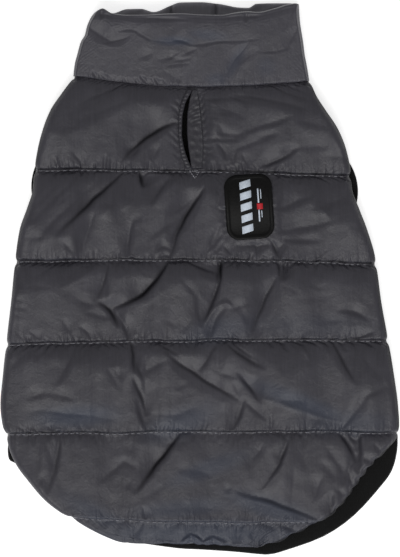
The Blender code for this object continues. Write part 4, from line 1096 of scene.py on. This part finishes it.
def folded_strip(name, inner, outer, heights, thick, material):
    """A strip of cloth folded double: its fold lies along inner, its two raw edges along outer.

    heights gives each station's surface height at the inner and the outer edge.
    """
    rings = []
    whole = 2.0 * thick + STRIP_SLOT
    for (ax, ay), (bx, by), (za, zb) in zip(inner, outer, heights):
        shares = STRIP_SHARES
        low = np.stack([ax + (bx - ax) * shares, ay + (by - ay) * shares, za + (zb - za) * shares], axis=1)
        turn = 2.0 * math.pi * (ay + 5.0 * (1.0 - shares) ** 2) / PLEAT_PITCH + 1.5 * np.sin(ay / 4.0)
        pleat = eased((ay - PLEATS_FROM) / 8.0) * np.sin(turn)
        uneven = 0.13 * pleat + 0.25 * ripple(low[:, 0], low[:, 1], 5.0, 83)
        low[:, 2] += uneven * np.minimum(1.0, 4.0 * shares)
        bottom, top = low.copy(), low + [0.0, 0.0, whole]
        bottom[0, 2] += 0.3 * whole
        top[0, 2] -= 0.3 * whole
        gap_bottom, gap_top = low[2:] + [0.0, 0.0, thick], low[2:] + [0.0, 0.0, thick + STRIP_SLOT]
        rings.append(np.concatenate([bottom, gap_bottom[::-1], gap_top, top[::-1]]))
    return tube(name, np.array(rings), material)


WELT_Y = np.linspace(SLIT_LINE[0].y, SLIT_LINE[-1].y, 141)
WELT_THICK, WELT_LIFT = 0.42, 0.35  # the wide welt's cloth, and how far it lies over the panel
GATHER_PITCH = 2.6  # of the narrow welt's bunches


def smoothed(values, reach):
    """Each value's average with its neighbours within reach."""
    padded = np.concatenate([values[:1]] * reach + [values] + [values[-1:]] * reach)
    return np.convolve(padded, np.ones(2 * reach + 1) / (2 * reach + 1), "valid")


def make_right_welt(surface, cloth):
    """The slit's wide right welt, folded and laid flat."""
    inner = np.stack([slit_middle(WELT_Y) + slit_half(WELT_Y) - 0.3, WELT_Y], axis=1)
    outer = np.stack([welt_right(WELT_Y) + 0.2, WELT_Y], axis=1)
    heights = np.array([
        (max(surface.height(ax + 1.0, ay), surface.height(ax + 0.5, ay)), surface.height(bx - 0.5, by))
        for (ax, ay), (bx, by) in zip(inner, outer)
    ])
    heights = np.stack([smoothed(side, 5) for side in heights.T], axis=1) + WELT_LIFT
    return folded_strip("leash_welt_right", inner, outer, heights, WELT_THICK, cloth)


def make_left_welt(surface, cloth):
    """The slit's narrow left welt, a bunched lip like a cord."""
    rings = []
    turn = np.linspace(0.0, 2.0 * math.pi, 18, endpoint=False)
    for y, middle, left in zip(WELT_Y, slit_middle(WELT_Y), welt_left(WELT_Y)):
        inner_x, outer_x = middle - float(slit_half(y)) + 0.2, left - 0.2
        width = (inner_x - outer_x) / 2.0
        gather = 2.0 * math.pi * y / GATHER_PITCH + 1.8 * math.sin(y / 5.0)
        bunch = 0.5 + 0.3 * math.sin(gather) + 0.2 * math.sin(y / 1.7)
        high = 0.8 + 0.3 * bunch
        cx = (inner_x + outer_x) / 2.0 + 0.15 * bunch
        cz = surface.height(inner_x - 1.6, y) + 0.25 + high * 0.9
        ring = (cx + width * np.cos(turn), np.full_like(turn, y), cz + high * np.sin(turn))
        rings.append(np.stack(ring, axis=1))
    return tube("leash_welt_left", np.array(rings), cloth)


ARMHOLES = named_rows("ArmholeOval", "side x y turn", (
    ("left", -82.3, 234.3, math.radians(-8.0)), ("right", 76.1, 231.4, math.radians(10.0)),
))
ARMHOLE_HALF_WIDTH, ARMHOLE_HALF_LENGTH = 24.0, 28.4
BINDING_WIDTH, BINDING_THICK = 6.0, 2.4


def armhole_point(hole, a, out):
    """The point at angle a on an armhole's oval, out millimetres wider than the armhole."""
    across = (ARMHOLE_HALF_WIDTH + out) * np.cos(a)
    along = (ARMHOLE_HALF_LENGTH + out) * np.sin(a)
    cos, sin = math.cos(hole.turn), math.sin(hole.turn)
    return hole.x + across * cos - along * sin, hole.y + across * sin + along * cos


def make_binding(hole, knit):
    """The rib folded over an armhole's edge: its fold faces the hole, its two edges the panels."""
    profile = (
        (0.0, 0.10), (0.02, 0.40), (0.10, 0.46), (0.5, 0.46), (0.86, 0.44), (0.86, 0.56), (0.5, 0.54),
        (0.10, 0.54), (0.02, 0.60), (0.0, 0.90), (0.06, 1.0), (0.3, 1.0), (0.6, 1.0), (0.85, 0.97),
        (0.95, 0.80), (1.0, 0.5), (0.95, 0.20), (0.85, 0.03), (0.6, 0.0), (0.3, 0.0), (0.06, 0.0),
    )
    stations = 330
    rings = []
    for i in range(stations):
        a = 2.0 * math.pi * i / stations
        rib = 0.5 + 0.5 * math.cos(2.0 * math.pi * i / 3.0)
        ring = []
        for share, z in profile:
            outside = share > 0.9 or z > 0.8 or z < 0.2
            rise = (0.12 * rib if outside else 0.0) * (1.0 if z >= 0.5 else -1.0)
            x, y = armhole_point(hole, a, -BINDING_WIDTH * share)
            ring.append((x, y, min(BINDING_THICK, max(0.0, z * (BINDING_THICK - 0.24) + 0.12 + rise))))
        rings.append(ring)
    return tube("armhole_rib_" + hole.side, np.array(rings, float), knit, wrap=True)


# ---------------------------------------------------------------- the belly panel and the tail lining

BELLY_THICK, LINING_THICK = 2.5, 1.8
BELLY_FOLDS = [Fold(*row) for row in (
    (-70, 280, -20, 240, 6, 0.5, 21, 16),
    (10, 215, 40, 275, 5, 0.6, 27, 12.5),
    (-75, 160, -40, 225, 8, 0.6, 30, 14.5),
    (20, 140, 60, 190, 6, 0.5, 21, 16),
    (-20, 190, 15, 120, 4, 0.6, 30, 14.5),
    (-90, 130, -40, 105, 3, 0.4, 24, 11),
    (45, 100, 85, 120, 3, 0.4, 18, 14.5),
)]


def node_outline(node):
    """The outline of a flat CAD node, in drawing millimetres, in order round its edge."""
    flat = bmesh.new()
    flat.from_mesh(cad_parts[node].data)
    bmesh.ops.remove_doubles(flat, verts=flat.verts[:], dist=1e-6)
    low = min(v.co.z for v in flat.verts) + 1e-5
    follow = {}
    for edge in flat.edges:
        if all(v.co.z < low for v in edge.verts) and any(abs(f.normal.z) < 0.5 for f in edge.link_faces):
            a, b = edge.verts
            follow.setdefault(a, []).append(b)
            follow.setdefault(b, []).append(a)
    start = min(follow, key=lambda v: (v.co.y, v.co.x))
    line, last, here = [start], None, start
    while True:
        ahead = [v for v in follow[here] if v is not last]
        last, here = here, ahead[0]
        if here is start:
            break
        line.append(here)
    points = np.array([[v.co.x, v.co.y] for v in line]) * 1000.0 - SHIFT[:2]
    flat.free()
    return points


def flat_panel(name, outline, low, high, pitch, relief, material):
    """A thin sheet with a rounded edge: its outline, and a net of points inside it."""
    closed = np.concatenate([outline, outline[:1]])
    edge = path_points(closed, pitch)[:-1]
    ahead = np.roll(edge, -1, 0) - np.roll(edge, 1, 0)
    inward = np.stack([-ahead[:, 1], ahead[:, 0]], axis=1)
    inward /= np.linalg.norm(inward, axis=1, keepdims=True)
    area = 0.5 * np.sum(edge[:, 0] * np.roll(edge[:, 1], -1) - np.roll(edge[:, 0], -1) * edge[:, 1])
    inward *= 1.0 if area > 0 else -1.0
    inner = edge + inward * 0.9
    xs = np.arange(edge[:, 0].min(), edge[:, 0].max(), 3.0)
    ys = np.arange(edge[:, 1].min(), edge[:, 1].max(), 3.0)
    net = np.array([(x + (1.5 if j % 2 else 0.0), y) for j, y in enumerate(ys) for x in xs])
    a, b = inner, np.roll(inner, -1, 0)
    crossing = (a[None, :, 1] > net[:, None, 1]) != (b[None, :, 1] > net[:, None, 1])
    rise = np.where(np.abs(b[:, 1] - a[:, 1]) < 1e-9, 1e-9, b[:, 1] - a[:, 1])
    at = a[None, :, 0] + (net[:, None, 1] - a[None, :, 1]) * ((b - a)[:, 0] / rise)[None]
    within = np.sum(crossing & (net[:, None, 0] < at), axis=1) % 2 == 1
    near = np.min(np.linalg.norm(net[:, None] - inner[None], axis=2), axis=1) < 1.6
    net = net[within & ~near]
    count = len(inner)
    points = [Vector(p) for p in np.concatenate([inner, net])]
    made = delaunay_2d_cdt(points, [(i, (i + 1) % count) for i in range(count)], [], 1, 1e-6)
    flat, faces = np.array([tuple(p) for p in made[0]]), made[2]
    order = {origin: i for i, origins in enumerate(made[3]) for origin in origins}
    rim = [order[i] for i in range(count)]
    inside = np.min(np.linalg.norm(flat[:, None] - edge[None], axis=2), axis=1)
    top = high - relief(flat[:, 0], flat[:, 1], inside)
    n = len(flat)
    middle = (low + high) / 2.0
    whole = np.concatenate([
        np.column_stack([flat, top]),
        np.column_stack([flat, np.full(n, low)]),
        np.column_stack([edge, np.full(count, middle)]),
    ])
    quads = [list(f) for f in faces] + [[n + i for i in f][::-1] for f in faces]
    for i in range(count):
        j = (i + 1) % count
        quads.append([rim[i], rim[j], 2 * n + j, 2 * n + i])
        quads.append([2 * n + i, 2 * n + j, n + rim[j], n + rim[i]])
    return new_object(name, whole, quads, material)


def belly_relief(x, y, inside):
    """How far the belly panel's top lies under its full height, inside millimetres in from its edge."""
    hem = 0.22 * np.exp(-(((inside - 7.0) / 0.9) ** 2))
    folds = -np.minimum(0.0, fold_relief(BELLY_FOLDS, x, y)) * eased((inside - 5.0) / 8.0)
    return hem + folds + 0.12 * (1.0 + ripple(x, y, 22.0, 51)) * eased(inside / 6.0)


def lining_relief(x, y, inside):
    """The same for the tail lining."""
    hem = 0.25 * np.exp(-(((inside - 4.2) / 0.7) ** 2))
    return hem + 0.12 * (1.0 + ripple(x, y, 13.0, 61)) * eased(inside / 3.0)


# ---------------------------------------------------------------- the patch

PATCH_LIFT, PATCH_THICK = 0.25, 1.3
PATCH_LEVELS = (  # distance in from the edge, height over the bed
    (12.0, 0.0), (6.0, 0.0), (1.0, 0.0), (0.25, 0.05), (0.0, 0.35), (0.0, 1.0), (0.15, 1.5), (0.5, 1.8),
    (1.0, 1.92), (1.6, 1.92), (2.1, 1.78), (2.5, 1.5), (2.8, 1.34), (3.3, 1.3), (4.4, 1.3), (6.4, 1.3),
    (9.0, 1.3), (12.0, 1.3),
)


def patch_bed(surface):
    """A smooth surface through the panel's heights under the patch, clear of all of them."""
    across, along = np.meshgrid(np.linspace(-13.5, 13.5, 10), np.linspace(-19.0, 19.0, 13))
    across, along = across.ravel(), along.ravel()
    x, y = off_patch(across, along)
    z = np.array([surface.height(a, b) for a, b in zip(x, y)])

    def terms(a, b):
        a, b = a / 15.0, b / 20.0
        return np.stack([1.0 + 0.0 * a, a, b, a * a, a * b, b * b, b**3, b**4, a * a * b], axis=-1)

    found = np.linalg.lstsq(terms(across, along), z, rcond=None)[0]
    clear = float(np.max(z - terms(across, along) @ found))

    def height(a, b):
        return terms(np.asarray(a, float), np.asarray(b, float)) @ found + min(clear, 0.6) + PATCH_LIFT

    return height


def rounded_rectangle(width, length, corner, sides, corners):
    """Points round a rectangle with round corners, anticlockwise from its right side."""
    points = []
    for quarter in range(4):
        side_x = (1, -1, -1, 1)[quarter] * (width / 2.0 - corner)
        side_y = (1, 1, -1, -1)[quarter] * (length / 2.0 - corner)
        a = quarter * math.pi / 2.0 + np.linspace(0.0, math.pi / 2.0, corners, endpoint=False)
        points += list(zip(side_x + corner * np.cos(a), side_y + corner * np.sin(a)))
        run = (width if quarter % 2 == 0 else length) - 2.0 * corner
        steps = np.linspace(0.0, run, sides[quarter % 2], endpoint=False)
        turn = (quarter + 1) * math.pi / 2.0
        for step in steps:
            points.append((
                side_x + corner * math.cos(turn) - step * math.sin(turn),
                side_y + corner * math.sin(turn) + step * math.cos(turn),
            ))
    return np.array(points)


def patch_point(bed, across, along, rise):
    """A point on the patch, at a height over its bed."""
    x, y = off_patch(across, along)
    return np.stack([x, y, bed(across, along) + rise], axis=-1)


def make_patch(bed, cloth):
    """The patch: its back, its edge with an embroidered rim, and its face."""
    rings = []
    for inset, rise in PATCH_LEVELS:
        width, length = PATCH_WIDTH - 2.0 * inset, PATCH_LENGTH - 2.0 * inset
        outline = rounded_rectangle(width, length, max(0.7, PATCH_CORNER - inset), (70, 120), 60)
        i = np.arange(len(outline))
        thread = 0.09 * np.sin(2.0 * math.pi * (i / 5.0 + inset * 0.7))
        on_rim = math.exp(-(((inset - 1.3) / 1.1) ** 2)) if rise > 0.6 else 0.0
        rings.append(patch_point(bed, outline[:, 0], outline[:, 1], rise + thread * on_rim))
    return tube("patch_badge", np.array(rings), cloth)


BAR_PROFILE = ((-0.5, 0.0), (-0.5, 0.09), (0.0, 0.1), (0.5, 0.09), (0.5, 0.0))  # share of the width, rise
BAR_ROWS = 9
# Five slanted bars in a column with thin upright lines beside them, and a square.
WHITE_BARS = [(-1.8, 14.2 - 7.0 * i, 7.0, 4.6, 1.8) for i in range(5)] + [
    (6.0, 6.6, 0.9, 9.0, 0.0), (6.0, -6.0, 0.9, 7.4, 0.0),
    (7.7, 7.6, 0.5, 6.0, 0.0), (7.7, -5.0, 0.5, 4.4, 0.0),
]
RED_SQUARE = [(6.7, -0.2, 3.7, 3.7, 0.0)]


def print_bars(name, bed, bars, material):
    """Flat printed bars on the patch: each is (across, along, width, length, slant)."""
    points, faces = [], []
    for across, along, width, length, slant in bars:
        faces += [[len(points) + v for v in face] for face in capped_faces(BAR_ROWS, len(BAR_PROFILE))]
        for i in range(BAR_ROWS):
            t = i / (BAR_ROWS - 1) - 0.5
            for side, rise in BAR_PROFILE:
                a = across + side * width
                b = along + t * length + side * slant
                points.append(patch_point(bed, np.float64(a), np.float64(b), PATCH_THICK - 0.03 + rise))
    return new_object(name, points, faces, material)


# ---------------------------------------------------------------- materials

Tint = namedtuple("Tint", "x y half_width half_height turn strength")
# Painted bluish reflection: patches where the nylon's colour is made bluer as if it caught a blue light, each
# given by its middle, half sizes, turn and strength.
SHELL_BLUE_REFLECTIONS = [Tint(*row) for row in (
    (-78.0, 88.0, 26.0, 7.0, 0.05, 0.9), (-12.0, 84.0, 22.0, 9.0, 0.35, 0.7),
    (65.0, 96.0, 34.0, 6.0, -0.38, 0.8), (92.0, 84.0, 30.0, 8.0, 0.0, 0.5),
    (5.0, 55.0, 26.0, 6.0, 0.35, 0.6), (-10.0, 30.0, 34.0, 6.0, 0.1, 0.6),
    (45.0, 30.0, 30.0, 7.0, -0.3, 0.8), (0.0, 14.0, 70.0, 9.0, 0.0, 0.9),
    (-62.0, 24.0, 26.0, 7.0, -0.5, 0.6), (12.0, 142.0, 24.0, 8.0, 0.2, 0.45),
    (70.0, 145.0, 40.0, 8.0, 0.0, 0.25),
)]
# painted bluish reflection on the collar
COLLAR_BLUE_REFLECTIONS = [Tint(*row) for row in (
    (-15.0, 324.0, 12.0, 3.0, 0.0, 0.9), (5.0, 327.6, 12.0, 3.6, -0.1, 0.6),
    (22.5, 311.0, 3.6, 12.0, -0.5, 0.5), (11.0, 300.0, 7.0, 4.0, 0.0, 0.5),
    (42.0, 308.0, 6.0, 6.0, 0.0, 0.35),
)]


def paint(piece, name, value):
    """Keeps a value between 0 and 1 at each of the piece's points; value takes arrays of x and y."""
    mesh = piece.data
    points = np.empty(len(mesh.vertices) * 3, dtype=np.float32)
    mesh.vertices.foreach_get("co", points)
    x, y, _ = (points.reshape(-1, 3) * 1000.0 - SHIFT).T
    found = np.clip(value(x, y), 0.0, 1.0).astype(np.float32)
    mesh.attributes.new(name, "FLOAT", "POINT").data.foreach_set("value", found)


def painted_reflection_share(reflections, x, y):
    """How much painted bluish reflection the cloth gets, 0 to 1."""
    total = np.zeros(len(x))
    for t in reflections:
        dx, dy = x - t.x, y - t.y
        a = (dx * math.cos(t.turn) + dy * math.sin(t.turn)) / t.half_width
        b = (-dx * math.sin(t.turn) + dy * math.cos(t.turn)) / t.half_height
        total = np.maximum(total, t.strength * np.exp(-((a * a + b * b) ** 1.5)))
    return total


def shell_pucker(x, y):
    """How far the shell's cloth is drawn into fine gathers, 0 to 1."""
    return np.exp(-seam_distance(x, y) / 4.0) * (0.75 + 0.45 * ripple(x, 0.5 * y, 27.0, 71))


def shell_painted_shade(x, y):
    """The painted shade: in the pinched cores of the creases, in a narrow line just above each seam, and
    along the coat's two sides.
    """
    # painted shade in a narrow line about 0.9 mm above each seam, where the fold that the seam draws up would
    # shade the cloth
    above = np.exp(-(((seam_distance(x, y - 0.9)) / 0.7) ** 2)) * (y > 60.0)
    painted_shade = np.maximum(painted_crease_shade(FOLDS, x, y), (0.5 + 0.35 * ripple(x, 0.2 * y, 9.0, 73)) * above)
    # painted shade along the right side, and along the left side above y 140; it also dims the gloss there,
    # so the rounded sides show no bright rim
    right_side = 0.85 * np.exp(-((np.maximum(0.0, body_right(y) - x) / 1.5) ** 2))
    left_side = 0.7 * np.exp(-((np.maximum(0.0, x - body_left(y)) / 1.5) ** 2)) * eased((y - 140.0) / 40.0)
    return np.maximum(painted_shade, np.maximum(right_side, left_side))


def collar_pucker(x, y):
    """How far the collar's cloth is drawn into fine gathers at the neck seam, 0 to 1."""
    return np.exp(-np.maximum(0.0, y - neck_y(x)) / 4.0) * (0.8 + 0.4 * ripple(x, 0.5 * y, 27.0, 72))


def grey(value, red=1.0, blue=1.0):
    """A grey that can lean towards red or blue."""
    return (value * red, value, value * blue, 1.0)


class Nodes:
    """A new material and its nodes; each method but finish adds a node and gives its output."""

    def __init__(self, name):
        self.material = bpy.data.materials.new(name)
        self.material.use_nodes = True
        self.tree = self.material.node_tree
        self.place = self.add("TexCoord", "Object")

    def connect(self, node, inputs):
        """Sets a node's inputs, to outputs of other nodes or to plain values."""
        for name, value in inputs.items():
            if isinstance(value, bpy.types.NodeSocket):
                self.tree.links.new(value, node.inputs[name])
            else:
                node.inputs[name].default_value = value

    def add(self, kind, output, inputs=(), **settings):
        node = self.tree.nodes.new("ShaderNode" + kind)
        for name, value in settings.items():
            setattr(node, name, value)
        self.connect(node, dict(inputs))
        return node.outputs[output]

    def finish(self, looks):
        """Connects the shader, and gives the material."""
        self.connect(self.tree.nodes["Principled BSDF"], looks)
        return self.material

    def noise(self, scale, detail, **more):
        return self.add("TexNoise", "Fac", {"Vector": self.place, "Scale": scale, "Detail": detail, **more})

    def stretched_noise(self, scale, detail, **more):
        """Noise with a scale of its own in each direction."""
        stretched = self.add("Mapping", 0, {"Vector": self.place, "Scale": scale})
        return self.noise(1.0, detail, Vector=stretched, **more)

    def wave(self, scale, distortion, direction):
        inputs = {"Vector": self.place, "Scale": scale, "Distortion": distortion}
        return self.add("TexWave", "Fac", inputs, bands_direction=direction)

    def product(self, a, b):
        return self.add("Math", 0, {0: a, 1: b}, operation="MULTIPLY")

    def average(self, share, a, b):
        return self.add("Mix", "Result", {"Factor": share, "A": a, "B": b})

    def blend(self, share, colour, other):
        return self.add("Mix", "Result", {"Factor": share, "A": colour, "B": other}, data_type="RGBA")

    def painted(self, name):
        """What paint keeps at the piece's points under this name."""
        return self.add("Attribute", "Fac", attribute_name=name)

    def spread(self, value, low, high, start=0.0, end=1.0):
        """Runs from low to high while the value runs from start to end."""
        inputs = {"Value": value, "From Min": start, "From Max": end, "To Min": low, "To Max": high}
        return self.add("MapRange", "Result", inputs)

    def ramp(self, factor, *stops):
        """Runs from one colour to another between two values of factor."""
        colour = self.add("ValToRGB", "Color", {"Fac": factor})
        for element, (position, value) in zip(colour.node.color_ramp.elements, stops):
            element.position, element.color = position, value
        return colour

    def bump(self, height, strength, distance, **more):
        inputs = {"Height": height, "Strength": strength, "Distance": distance, **more}
        return self.add("Bump", "Normal", inputs)


def nylon(name, dark, light, blue_reflection=None):
    """Shiny woven nylon: a fine plain weave, faint ribs, small crinkles and a little unevenness."""
    nodes = Nodes(name)
    streaks = nodes.stretched_noise((900.0, 45.0, 300.0), 2.0)
    uneven = nodes.average(0.45, nodes.noise(38.0, 3.0, Roughness=0.6), streaks)
    colour = nodes.ramp(uneven, (0.32, dark), (0.68, light))
    # painted bluish reflection, mixed into the colour as far as paint has kept it
    if blue_reflection is not None:
        colour = nodes.blend(nodes.painted("blue_reflection"), colour, blue_reflection)
    # painted shade: the crease attribute darkens the colour towards near-black and lowers the gloss, in
    # crease cores, above the seams and along the sides
    painted_shade = nodes.painted("crease")
    weave = nodes.product(nodes.wave(700.0, 0.6, "X"), nodes.wave(620.0, 0.6, "Y"))
    crinkle = nodes.noise(210.0, 4.0, Roughness=0.62, Distortion=0.4)
    gathers = nodes.stretched_noise((290.0, 60.0, 60.0), 1.5, Distortion=0.9)
    normal = nodes.bump(weave, 0.5, 0.00004)
    normal = nodes.bump(streaks, 0.5, 0.0001, Normal=normal)
    normal = nodes.bump(crinkle, 0.5, 0.0007, Normal=normal)
    return nodes.finish({
        "Base Color": nodes.blend(painted_shade, colour, grey(0.15 * dark[1], 1.0, 1.15)),
        "Roughness": nodes.spread(uneven, 0.37, 0.49, start=0.3, end=0.7),
        "Specular IOR Level": nodes.spread(painted_shade, 0.4, 0.06),
        "Normal": nodes.bump(gathers, nodes.painted("pucker"), 0.0022, Normal=normal),
    })


def knit(name, dark, light, scale, relief=0.0003):
    """Matt knitted or ribbed cloth: rows of loops, with a soft nap."""
    nodes = Nodes(name)
    loops = nodes.product(nodes.wave(scale, 1.2, "X"), nodes.wave(scale * 1.35, 1.2, "Y"))
    nap, worn = nodes.noise(900.0, 3.0), nodes.noise(45.0, 2.0)
    return nodes.finish({
        "Base Color": nodes.ramp(nodes.average(0.5, loops, worn), (0.2, dark), (0.8, light)),
        "Roughness": nodes.spread(nap, 0.82, 0.98),
        "Specular IOR Level": 0.25,
        "Sheen Weight": 0.12,
        "Sheen Roughness": 0.5,
        "Normal": nodes.bump(loops, 0.6, relief, Normal=nodes.bump(nap, 0.3, 0.0002)),
    })


def plain_yarn(name, dark, light, scale, roughness, relief, shine=0.4):
    """Thread, patch or print: one colour that varies a little, with a fine grain."""
    nodes = Nodes(name)
    grain = nodes.noise(scale, 3.0)
    return nodes.finish({
        "Base Color": nodes.ramp(grain, (0.3, dark), (0.7, light)),
        "Roughness": nodes.spread(grain, roughness - 0.1, roughness + 0.1),
        "Specular IOR Level": shine,
        "Normal": nodes.bump(grain, 0.4, relief),
    })


def floor_white():
    """The white floor, a little brighter than its light makes it."""
    nodes = Nodes("floor")
    return nodes.finish({
        "Base Color": nodes.ramp(nodes.noise(3.0, 2.0), (0.3, grey(0.93)), (0.7, grey(0.95))),
        "Roughness": 0.8,
        "Specular IOR Level": 0.1,
        "Emission Color": (1.0, 1.0, 1.0, 1.0),
        "Emission Strength": 0.6,
    })


# ---------------------------------------------------------------- the studio


WORLD_STRENGTH = 0.4
LIGHTS = (  # name, place, size, power, colour
    ("key", (-0.15, -1.15, 1.75), (1.4, 1.1), 21.0, (1.0, 0.985, 0.97)),
    ("low_blue", (0.0, -1.6, 0.4), (1.4, 0.4), 2.7, (0.7, 0.83, 1.0)),
)


def area_light(name, location, size, power, colour):
    """A rectangular lamp that faces the coat."""
    data = bpy.data.lights.new(name, "AREA")
    data.shape, data.size, data.size_y = "RECTANGLE", size[0], size[1]
    data.energy, data.color = power, colour
    lamp = bpy.data.objects.new(name, data)
    lamp.location = location
    lamp.rotation_euler = (Vector((0.0, 0.0, 0.01)) - lamp.location).to_track_quat("-Z", "Y").to_euler()
    bpy.context.scene.collection.objects.link(lamp)


def make_studio():
    """The white surroundings, the lamps and the floor."""
    world = bpy.data.worlds.new("studio")
    bpy.context.scene.world = world
    bpy.context.scene.view_settings.view_transform = "Standard"
    world.use_nodes = True
    back = world.node_tree.nodes["Background"]
    back.inputs["Color"].default_value = (1.0, 1.0, 1.0, 1.0)
    back.inputs["Strength"].default_value = WORLD_STRENGTH
    for light in LIGHTS:
        area_light(*light)

    floor = bpy.data.meshes.new("floor")
    floor.from_pydata([(-3, -3, 0), (3, -3, 0), (3, 3, 0), (-3, 3, 0)], [], [(0, 1, 2, 3)])
    floor.materials.append(floor_white())
    ground = bpy.data.objects.new("floor", floor)
    ground.location = (0.0, 0.0, -0.0002)
    bpy.context.scene.collection.objects.link(ground)


def make_camera():
    """Straight above the coat, with the photograph's frame: 557 pixels are 350.9 mm of the coat."""
    data = bpy.data.cameras.new("camera")
    data.sensor_fit, data.sensor_height, data.sensor_width = "VERTICAL", 36.0, 36.0
    distance, level = 2.0, 0.010
    data.lens = 36.0 * distance / 0.3509
    data.clip_start, data.clip_end = 0.1, 20.0
    camera = bpy.data.objects.new("camera", data)
    camera.location = (0.00017, 0.0, distance + level)
    bpy.context.scene.collection.objects.link(camera)
    bpy.context.scene.camera = camera


# ---------------------------------------------------------------- putting it together


def seam_line(k):
    """The line that a seam's stitches follow."""
    left, right = seam_ends(k)
    x = np.linspace(left + 2.0, right - 2.0, 300)
    return np.stack([x, seam_y(k, share_across(x, left, right), x) - 0.25], axis=1)


def declare(piece, slot, *nodes):
    """Says what every piece has in common: its body and the nodes that it replaces. slot is not used."""
    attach(piece, "root")
    if nodes:
        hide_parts(*nodes)


SHELL_STEPS, COLLAR_STEPS = 300, 240  # of the cloth's settling
# the colours of the painted bluish reflection on the shell and on the collar
SHELL_REFLECTION_BLUE, COLLAR_REFLECTION_BLUE = (0.033, 0.040, 0.062, 1.0), (0.035, 0.042, 0.066, 1.0)

shell_cloth = nylon("shell_nylon", grey(0.031, 1.04, 1.26), grey(0.044, 1.04, 1.26), SHELL_REFLECTION_BLUE)
collar_cloth = nylon("collar_nylon", grey(0.040, 1.04, 1.25), grey(0.054, 1.04, 1.25), COLLAR_REFLECTION_BLUE)
# the collar's inside: the same nylon made much paler, painted light that makes up for the shade that the
# front's rim casts over it
inner_collar_cloth_painted_paler = nylon("inner_collar_nylon_painted_paler", grey(0.105, 1.03, 1.14), grey(0.14, 1.03, 1.14))
# the welts: the shell's nylon made darker, painted shade for the slit's dim lips
welt_cloth_painted_darker = nylon("welt_nylon_painted_darker", grey(0.024, 1.04, 1.26), grey(0.036, 1.04, 1.26))
belly_knit = knit("belly_knit", grey(0.004), grey(0.008), 240.0)
lining_knit = knit("lining_knit", grey(0.002), grey(0.0045), 260.0)
rib_knit = knit("rib_knit", grey(0.004), grey(0.009), 160.0, relief=0.0004)
thread = plain_yarn("thread", grey(0.17, 1.0, 1.12), grey(0.29, 1.0, 1.12), 1500.0, 0.6, 0.0001)
dark_thread = plain_yarn("dark_thread", grey(0.05, 1.0, 1.12), grey(0.1, 1.0, 1.12), 1500.0, 0.6, 0.0001)
patch_cloth = plain_yarn("patch_cloth", grey(0.0025), grey(0.005), 700.0, 0.45, 0.0002, shine=0.15)
white_print, red_print = (
    plain_yarn(name, (*dark, 1.0), (*light, 1.0), 900.0, 0.5, 0.00005)
    for name, dark, light in (
        ("white_print", (0.55, 0.62, 0.72), (0.68, 0.75, 0.84)),
        ("red_print", (0.45, 0.012, 0.02), (0.6, 0.02, 0.03)),
    )
)

make_camera()
make_studio()

shell = make_shell(shell_cloth)
# painted bluish reflection on the shell
paint(shell, "blue_reflection", lambda x, y: painted_reflection_share(SHELL_BLUE_REFLECTIONS, x, y))
paint(shell, "pucker", shell_pucker)
# painted shade on the shell: crease cores, a line above each seam, and the two sides
paint(shell, "crease", shell_painted_shade)
declare(shell, "quilted_shell", "back_panel")

collar = make_collar(collar_cloth, inner_collar_cloth_painted_paler)
# painted bluish reflection on the collar
paint(collar, "blue_reflection", lambda x, y: painted_reflection_share(COLLAR_BLUE_REFLECTIONS, x, y))
paint(collar, "pucker", collar_pucker)
# painted shade in the cores of the deep folds on the collar's inside, where it shows past the mouth
paint(collar, "crease", lambda x, y: painted_crease_shade(REAR_FOLDS, x, y) * (y > 341.2))
declare(collar, "collar_shell", "collar")

surface = Surface(shell)

right_welt = make_right_welt(surface, welt_cloth_painted_darker)
declare(right_welt, "welt_shell", "leash_slit_welt_right")
left_welt = make_left_welt(surface, welt_cloth_painted_darker)
declare(left_welt, "welt_shell", "leash_slit_welt_left")

for hole in ARMHOLES:
    rib = make_binding(hole, rib_knit)
    declare(rib, "binding_rib", "armhole_binding_" + hole.side)

belly_edge = node_outline("belly_panel")
belly = flat_panel("belly_knit_panel", belly_edge, 0.0, BELLY_THICK, 1.6, belly_relief, belly_knit)
declare(belly, "belly_cloth", "belly_panel")

lining_edge = node_outline("tail_lining")
lining = flat_panel("lining_knit_panel", lining_edge, 0.0, LINING_THICK, 1.2, lining_relief, lining_knit)
declare(lining, "lining_cloth", "tail_lining")

bed = patch_bed(surface)
patch = make_patch(bed, patch_cloth)
declare(patch, "patch_black", "patch")
white_bars = print_bars("patch_print_bars", bed, WHITE_BARS, white_print)
declare(white_bars, "patch_black")
red_square = print_bars("patch_print_square", bed, RED_SQUARE, red_print)
declare(red_square, "patch_black")

seams = sew("quilting_stitches", [seam_line(k) for k in range(1, 6)], surface, thread)
declare(seams, "quilted_shell")
y = np.linspace(292.0, 246.0, 60)
slit_surface = Surface(shell, right_welt, left_welt)
slit_lines = [
    np.stack([welt_right(y) - 0.5, y], axis=1),
    np.stack([welt_left(y) - 0.3, y], axis=1),
]
slit_sewing = sew(
    "slit_stitches", slit_lines, slit_surface, dark_thread, pitch=2.9, length=2.1, thick=0.42, seed=3,
)
declare(slit_sewing, "welt_shell")
bartack = sew(
    "bartack_stitches",
    [[(-6.0, 242.4), (-2.8, 237.9), (0.0, 242.4)], [(-6.6, 242.6), (0.8, 242.6)]],
    slit_surface, thread, pitch=1.5, length=1.4, thick=0.75, seed=5,
)
declare(bartack, "welt_shell")
